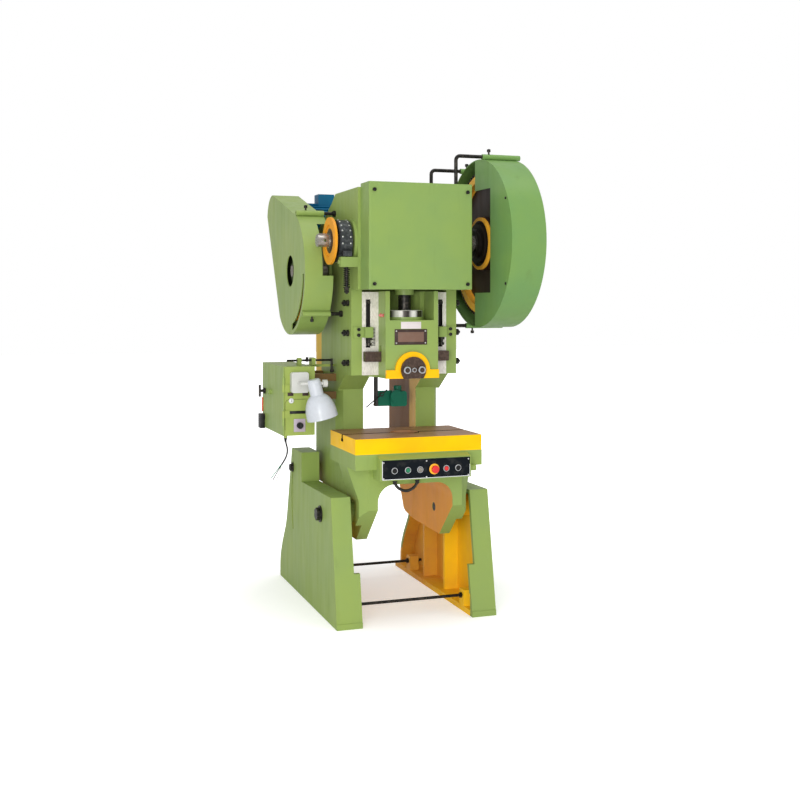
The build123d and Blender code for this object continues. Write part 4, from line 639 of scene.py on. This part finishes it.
def add_world(scene):
    """A white studio that is pure white to the camera and lights the press more weakly."""
    world = bpy.data.worlds.new("studio")
    world.use_nodes = True
    tree = world.node_tree
    tree.nodes.clear()
    rays = node(tree, "ShaderNodeLightPath")
    seen = together(tree, "MAXIMUM", (rays.outputs["Is Camera Ray"], rays.outputs["Is Transmission Ray"]))
    power = node(tree, "ShaderNodeMapRange", {0: seen, 3: 0.66, 4: 1.0})
    sky = node(tree, "ShaderNodeBackground", {"Color": (1, 1, 1, 1), "Strength": power})
    node(tree, "ShaderNodeOutputWorld", {"Surface": sky})
    scene.world = world


def add_lights(scene, key_power):
    """Soft square lights that all look at the middle of the press."""
    for name, spot, size, share, tint in LIGHTS:
        lamp = bpy.data.lights.new(name, "AREA")
        lamp.energy = key_power * share
        lamp.size = size
        lamp.color = tint
        light = bpy.data.objects.new(name, lamp)
        light.location = spot
        aim = np.array(LIGHT_TARGET) - np.array(spot)
        tip = math.acos(-aim[2] / np.linalg.norm(aim))
        light.rotation_euler = (tip, 0, math.atan2(aim[1], aim[0]) - math.pi / 2)
        scene.collection.objects.link(light)


class PRESS_OT_stage(bpy.types.Operator):
    """Camera, floor and soft lights."""

    bl_idname = "press.stage"
    bl_label = "Stage"

    def execute(self, context):
        scene = context.scene
        scene.view_settings.view_transform = "Standard"
        add_camera(scene)
        add_floor(scene, tuple(scene.press_look.floor_tone))
        add_world(scene)
        add_lights(scene, scene.press_look.key_power)
        return {"FINISHED"}


NODE_FINISHES = {
    "enamel on legs": ("left_leg", "right_leg"),
    "enamel on frame": ("c_frame",),
    "enamel on sheet": (
        "stop_brackets", "slide_block", "bearings", "motor_bracket", "connecting_rod",
        "flywheel_guard", "control_box", "cabinet_door"),
    "guard enamel": ("gear_guard",),
    "cover enamel": ("crank_cover",),
    "cabinet enamel": ("cabinet",),
    "band yellow": ("die_clamp",),
    "cam enamel": ("cam_disc",),
    "wheel enamel": ("flywheel",),
    "gear enamel": ("bull_gear",),
    "hub enamel": ("clutch_hub",),
    "blue enamel": ("motor",),
    "teal enamel": ("oil_pump",),
    "guide steel": ("gib_bars",),
    "shaft steel": ("crankshaft", "key_selector", "motor_shaft"),
    "ring steel": ("seat_ring",),
    "gear steel": ("drive_pinion", "drive_shaft"),
    "black steel": (
        "tie_rods", "tie_nuts", "pivot_bolts", "tilt_bolts", "gib_screws", "stop_screws", "brake_spring",
        "brake_rod", "adjusting_screw", "cover_screws", "guard_bars", "door_handle", "pump_lever",
        "trip_shaft"),
    "brown steel": ("clamp_boss", "knockout_bar"),
    "black iron": ("brake_drum", "brake_band", "motor_pulley"),
    "greased iron": ("bolster_plate",),
    "belt rubber": ("drive_belts",),
    "panel": ("control_panel",),
    "black plastic": ("left_button", "right_button", "main_switch"),
    "green plastic": ("start_button",),
    "red plastic": ("stop_button", "emergency_button"),
    "grey plastic": ("lamp_base",),
    "white enamel": ("lamp_shade",),
    "sheath": ("control_conduit", "mains_cable"),
}


class PRESS_OT_finishes(bpy.types.Operator):
    """Gives every CAD node its finish."""

    bl_idname = "press.finishes"
    bl_label = "Finishes"

    def execute(self, context):
        chosen = {name: key for key, names in NODE_FINISHES.items() for name in names}
        bare = sorted(set(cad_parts) - set(chosen))
        if bare:
            raise RuntimeError("nodes without a finish: " + ", ".join(bare))
        for name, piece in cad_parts.items():
            piece.data.materials.clear()
            piece.data.materials.append(finish(chosen[name]))
        return {"FINISHED"}


class PRESS_OT_cords(bpy.types.Operator):
    """The conduit loop below the control box and the short mains tail of the cabinet."""

    bl_idname = "press.cords"
    bl_label = "Cords"

    def execute(self, context):
        back, low, far = DIE_Y - 0.200, 0.762, -0.124
        loop = [
            (0.0, back, low - 0.009), (0.0, back, low - 0.039), (-0.028, back - 0.004, low - 0.064),
            (-0.064, back - 0.006, low - 0.074), (-0.099, back - 0.003, low - 0.062),
            (far, back, low - 0.037), (far, back, low - 0.009),
        ]
        conduit = cord_curve("conduit_loop", loop, 0.008, "sheath", "frame")
        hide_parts("control_conduit")
        ferrule = [(0.0125, -0.004), (0.0135, -0.002), (0.0135, 0.012), (0.0105, 0.016), (0.0100, 0.026),
                   (0.0086, 0.028)]
        ferrules = [turned((across, back, low - 0.009), (0, 0, -1), ferrule) for across in (0.0, far)]
        loose_piece("conduit_ferrules", ferrules, "black plastic", "frame")

        gland_x, gland_y, floor_z = -0.608, DIE_Y + 0.205, 0.955
        tail = [
            (gland_x, gland_y, floor_z - 0.014), (gland_x + 0.002, gland_y + 0.002, floor_z - 0.042),
            (gland_x + 0.013, gland_y + 0.008, floor_z - 0.072),
            (gland_x + 0.012, gland_y + 0.012, floor_z - 0.104),
            (gland_x, gland_y + 0.015, floor_z - 0.134), (gland_x - 0.017, gland_y + 0.019, floor_z - 0.160),
        ]
        lead = cord_curve("mains_lead", tail, 0.0045, "sheath", "frame")
        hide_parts("mains_cable")
        end = np.array(tail[-1])
        heading = end - np.array(tail[-2])
        heading /= np.linalg.norm(heading)
        across = np.cross(heading, (0, 1, 0))
        step = np.linspace(0, 1, 12)[:, None]
        # Each core leaves the sheath along its end and bends by its own reach
        for spread, reach, key in (
            (-1, (-0.040, 0.004, -0.052), "green plastic"),
            (0, (-0.030, 0.014, -0.062), "black plastic"),
            (1, (-0.016, 0.002, -0.066), "grey plastic"),
        ):
            root = end + across * spread * 0.0024 - heading * 0.004
            path = root + heading * 0.03 * step + np.array(reach) * step ** 2
            name = "core_" + key.split()[0]
            loose_piece(name, [tube(path, 0.0022, 8)], key, "frame")
        gland = turned((gland_x, gland_y, floor_z - 0.0145), (0, 0, -1),
                       [(0.0085, -0.001), (0.0085, 0.003), (0.0070, 0.010), (0.0052, 0.022), (0.0047, 0.023)])
        loose_piece("mains_gland", [gland], "black plastic", "frame")
        return {"FINISHED"}


class PRESS_OT_slide_plates(bpy.types.Operator):
    """Bare plates, pointer and scale on the slide and its guide, and the rings of the clamp's screws."""

    bl_idname = "press.slide_plates"
    bl_label = "Slide plates"

    def execute(self, context):
        rivet = context.scene.press_sizes.rivet_radius
        pitch = context.scene.press_sizes.tick_pitch
        middle, plate_z, half, tall = -0.0065, 1.4885, 0.0915, 0.083
        front = SLIDE_FACE - 0.001
        box_piece("slide_plate_frame", (middle, front, plate_z), (2 * half, 0.002, tall), 0.0009,
                  "plate frame", "slide", 4)
        box_piece("slide_plate", (middle, front - 0.0011, plate_z), (2 * half - 0.038, 0.0012, tall - 0.031),
                  0.0005, "etched plate", "slide", 4)
        head = [(rivet, 0.0), (rivet * 0.92, 0.0012), (rivet * 0.6, 0.0022), (0.0004, 0.0026)]
        inset = 0.010
        rivets = []
        for side in (-1, 1):
            for up in (-1, 1):
                corner = (middle + side * (half - inset), front - 0.001, plate_z + up * (tall / 2 - inset))
                rivets.append(turned(corner, (0, -1, 0), head, 20))
        loose_piece("slide_rivets", rivets, "zinc", "slide")
        box_piece("slide_label", (middle + 0.001, front + 0.0004, 1.5505), (0.113, 0.0012, 0.037), 0.0005,
                  "paper", "slide", 4)

        scale_edge, scale_foot, tick_count = -0.166, 1.443, 13
        ticks = []
        for step in range(tick_count):
            long = 0.019 if step % 2 == 0 else 0.012
            spot = (scale_edge - long / 2, GUIDE_FACE - 0.0002, scale_foot + pitch * step)
            ticks.append(rounded_box(spot, (long, 0.0008, 0.0042), 0.0003, 2))
        loose_piece("guide_scale", ticks, "black plastic", "frame", False)

        # The pointer is a barbed arrow cut from sheet, drawn as (along Y, up)
        outline = np.array([(-0.002, 0.0), (-0.052, 0.013), (-0.044, 0.005), (-0.098, 0.009), (-0.088, 0.0),
                            (-0.098, -0.009), (-0.044, -0.005), (-0.052, -0.013)])
        tip_x, tip_z, half_thick = -0.1486, 1.603, 0.0012
        arrow = np.column_stack([np.full(len(outline), tip_x), DIE_Y + outline[:, 0], tip_z + outline[:, 1]])
        thick = np.array([half_thick, 0, 0])
        sheet = (np.concatenate([arrow - thick, arrow + thick]), shell_faces(2, len(outline)))
        loose_piece("slide_pointer", [sheet], "red plastic", "slide", False)

        sockets = []
        for across, reach, size in ((-0.041, 0.0160, 0.0205), (0.041, 0.0160, 0.0205), (0.0, 0.0098, 0.0135)):
            ring = [(size, 0.0), (size, 0.0016), (size - 0.0016, 0.0032), (size * 0.62, 0.0032),
                    (size * 0.56, 0.0018), (size * 0.56, 0.0)]
            sockets.append(turned((across, CLAMP_FACE - reach, CLAMP_Z), (0, -1, 0), ring, 32))
        loose_piece("clamp_rings", sockets, "bright chrome", "slide")
        return {"FINISHED"}


class PRESS_OT_controls(bpy.types.Operator):
    """Bezels, mushroom ring, screws and painted highlights along three edges of the control panel."""

    bl_idname = "press.controls"
    bl_label = "Controls"

    def execute(self, context):
        bezel = context.scene.press_sizes.bezel_radius
        bezel_ring = [(bezel, 0.0), (bezel, 0.003), (bezel - 0.0012, 0.0045), (bezel - 0.0028, 0.0045),
                      (bezel - 0.0032, 0.0032), (bezel - 0.0032, 0.0)]
        rings = [turned((across, PANEL_FACE - 0.0022, BUTTON_Z), (0, -1, 0), bezel_ring, 36)
                 for across in (-0.162, -0.090, -0.023, 0.121, 0.187)]
        loose_piece("button_bezels", rings, "grey bezel plastic as painted chrome", "frame")
        mushroom_ring = [(0.0275, 0.0), (0.0275, 0.0016), (0.0262, 0.0026), (0.0125, 0.0026), (0.0125, 0.0)]
        ring = turned((0.054, PANEL_FACE - 0.0042, BUTTON_Z), (0, -1, 0), mushroom_ring, 44)
        loose_piece("mushroom_ring", [ring], "yellow plastic", "frame")
        left, middle, right, lower, upper = -0.220, 0.013, 0.246, 0.774, 0.856
        screw = [(0.0042, 0.0), (0.0042, 0.0012), (0.003, 0.0024), (0.0004, 0.0028)]
        screws = [turned((across, PANEL_FACE - 0.0001, up), (0, -1, 0), screw, 18)
                  for across, up in ((left, lower), (left, upper), (right, lower), (right, upper),
                                     (middle, upper), (middle, lower))]
        loose_piece("panel_screws", screws, "zinc", "frame")
        # The chrome frame round the panel, drawn only on its lower, left and right edges as pale strips of
        # painted highlight
        highlight_y = PANEL_FACE - 0.001
        rim = [
            rounded_box((0.013, highlight_y, 0.7690), (0.482, 0.004, 0.0038), 0.0016, 3),
            rounded_box((-0.2270, highlight_y, 0.817), (0.0038, 0.004, 0.095), 0.0016, 3),
            rounded_box((0.2530, highlight_y, 0.800), (0.0028, 0.004, 0.060), 0.0016, 3),
        ]
        loose_piece("panel_edge_highlights", rim, "pale ring plastic as painted chrome", "frame")
        return {"FINISHED"}


class PRESS_OT_cabinet_fittings(bpy.types.Operator):
    """Tags, slot, seam, lock and switch plate of the electrical cabinet, and the covers on its door."""

    bl_idname = "press.cabinet_fittings"
    bl_label = "Cabinet fittings"

    def execute(self, context):
        front = CABINET_FACE
        loose_piece("cabinet_tags", [
            rounded_box((-0.589, front - 0.0008, 1.178), (0.032, 0.0022, 0.018), 0.0006, 3),
            rounded_box((-0.506, front - 0.0008, 1.178), (0.034, 0.0022, 0.020), 0.0006, 3),
        ], "plate frame", "frame")
        box_piece("cabinet_slot", (-0.5555, front - 0.0008, 1.080), (0.105, 0.0024, 0.016), 0.0008,
                  "black plastic", "frame")
        # The seam runs up, round a corner and along the top
        corner_x, corner_z, corner = -0.594, 1.125, 0.025
        angle = np.linspace(math.pi, math.pi / 2, 7)
        bend = np.column_stack([corner_x + corner * np.cos(angle), np.full(len(angle), front),
                                corner_z + corner * np.sin(angle)])
        seam = np.concatenate([[(-0.619, front, 0.985)], bend, [(-0.500, front, 1.150)]])
        loose_piece("cabinet_seam", [tube(seam, 0.0011, 8)], "plate frame", "frame")
        lock_x, lock_z = -0.585, 1.143
        barrel = [(0.014, 0.0), (0.014, 0.004), (0.0115, 0.006), (0.0105, 0.008), (0.0060, 0.009),
                  (0.0004, 0.0095)]
        lock = turned((lock_x, front - 0.0004, lock_z), (0, -1, 0), barrel)
        loose_piece("cabinet_lock", [lock], "pale ring plastic as painted chrome", "frame")
        # Painted shade: a black sliver for the dark inside of the lock's keyhole
        box_piece("keyhole_shade", (lock_x, front - 0.0099, lock_z), (0.0022, 0.0012, 0.012), 0.0004,
                  "black plastic", "frame")
        box_piece("switch_plate", (-0.540, front - 0.0048, 1.010), (0.064, 0.0022, 0.070), 0.0008,
                  "lilac plate", "frame")
        # The switch and the strip on the cabinet's door, each under a thin cover
        cover_rear, cover_front = CABINET_BACK + 0.0006, CABINET_BACK - 0.0626
        box_piece("door_block", (DOOR_FACE - 0.0134, (cover_rear + cover_front) / 2, 0.991),
                  (0.0262, cover_rear - cover_front, 0.0812), 0.0008, "black plastic", "door")
        box_piece("door_strip", (DOOR_FACE - 0.0026, CABINET_BACK - 0.007, 1.083), (0.0056, 0.0152, 0.0812),
                  0.0006, "orange enamel", "door")
        return {"FINISHED"}


class PRESS_OT_guard_screws(bpy.types.Operator):
    """The two small screws near the rim of the gear guard's side."""

    bl_idname = "press.guard_screws"
    bl_label = "Guard screws"

    def execute(self, context):
        head = [(0.0075, 0.0), (0.0075, 0.0035), (0.0055, 0.0055), (0.0004, 0.006)]
        screws = [turned((GUARD_SIDE + 0.0002, DIE_Y - 0.382, CRANK_Z + up), (-1, 0, 0), head, 20)
                  for up in (0.220, -0.226)]
        loose_piece("guard_screws", screws, "black steel", "frame")
        return {"FINISHED"}


class PRESS_OT_brake_rivets(bpy.types.Operator):
    """Rivets round the brake band, in two rows, except where its ends meet."""

    bl_idname = "press.brake_rivets"
    bl_label = "Brake rivets"

    def execute(self, context):
        head = [(0.0048, 0.0), (0.0044, 0.0014), (0.0028, 0.0024), (0.0003, 0.0028)]
        rivets = []
        for degrees in range(9, 360, 18):
            if 200 < degrees < 240:
                continue
            angle = math.radians(degrees)
            out = np.array([0.0, math.cos(angle), math.sin(angle)])
            for across in (-0.3775, -0.3345):
                start = np.array([across, DIE_Y, CRANK_Z]) + out * (DRUM_RADIUS - 0.0004)
                rivets.append(turned(start, out, head, 12))
        loose_piece("band_rivets", rivets, "zinc", "frame")
        return {"FINISHED"}


class PRESS_PT_panel(bpy.types.Panel):
    """The press's operators and values in the sidebar."""

    bl_idname = "PRESS_PT_panel"
    bl_label = "Press"
    bl_space_type = "VIEW_3D"
    bl_region_type = "UI"
    bl_category = "Press"

    def draw(self, context):
        layout = self.layout
        for group in (context.scene.press_sizes, context.scene.press_look):
            for name in group.bl_rna.properties.keys():
                if name not in {"rna_type", "name"}:
                    layout.prop(group, name)
        for operator in OPERATORS:
            layout.operator(operator.bl_idname)


OPERATORS = (
    PRESS_OT_stage, PRESS_OT_finishes, PRESS_OT_cords, PRESS_OT_slide_plates, PRESS_OT_controls,
    PRESS_OT_cabinet_fittings, PRESS_OT_guard_screws, PRESS_OT_brake_rivets,
)
CLASSES = (PressSizes, PressLook, *OPERATORS, PRESS_PT_panel)


def register():
    for kind in CLASSES:
        bpy.utils.register_class(kind)
    bpy.types.Scene.press_sizes = bpy.props.PointerProperty(type=PressSizes)
    bpy.types.Scene.press_look = bpy.props.PointerProperty(type=PressLook)


def unregister():
    del bpy.types.Scene.press_look
    del bpy.types.Scene.press_sizes
    for kind in reversed(CLASSES):
        bpy.utils.unregister_class(kind)


def main():
    register()
    for operator in OPERATORS:
        area, name = operator.bl_idname.split(".")
        getattr(getattr(bpy.ops, area), name)()


if __name__ == "__main__":
    main()
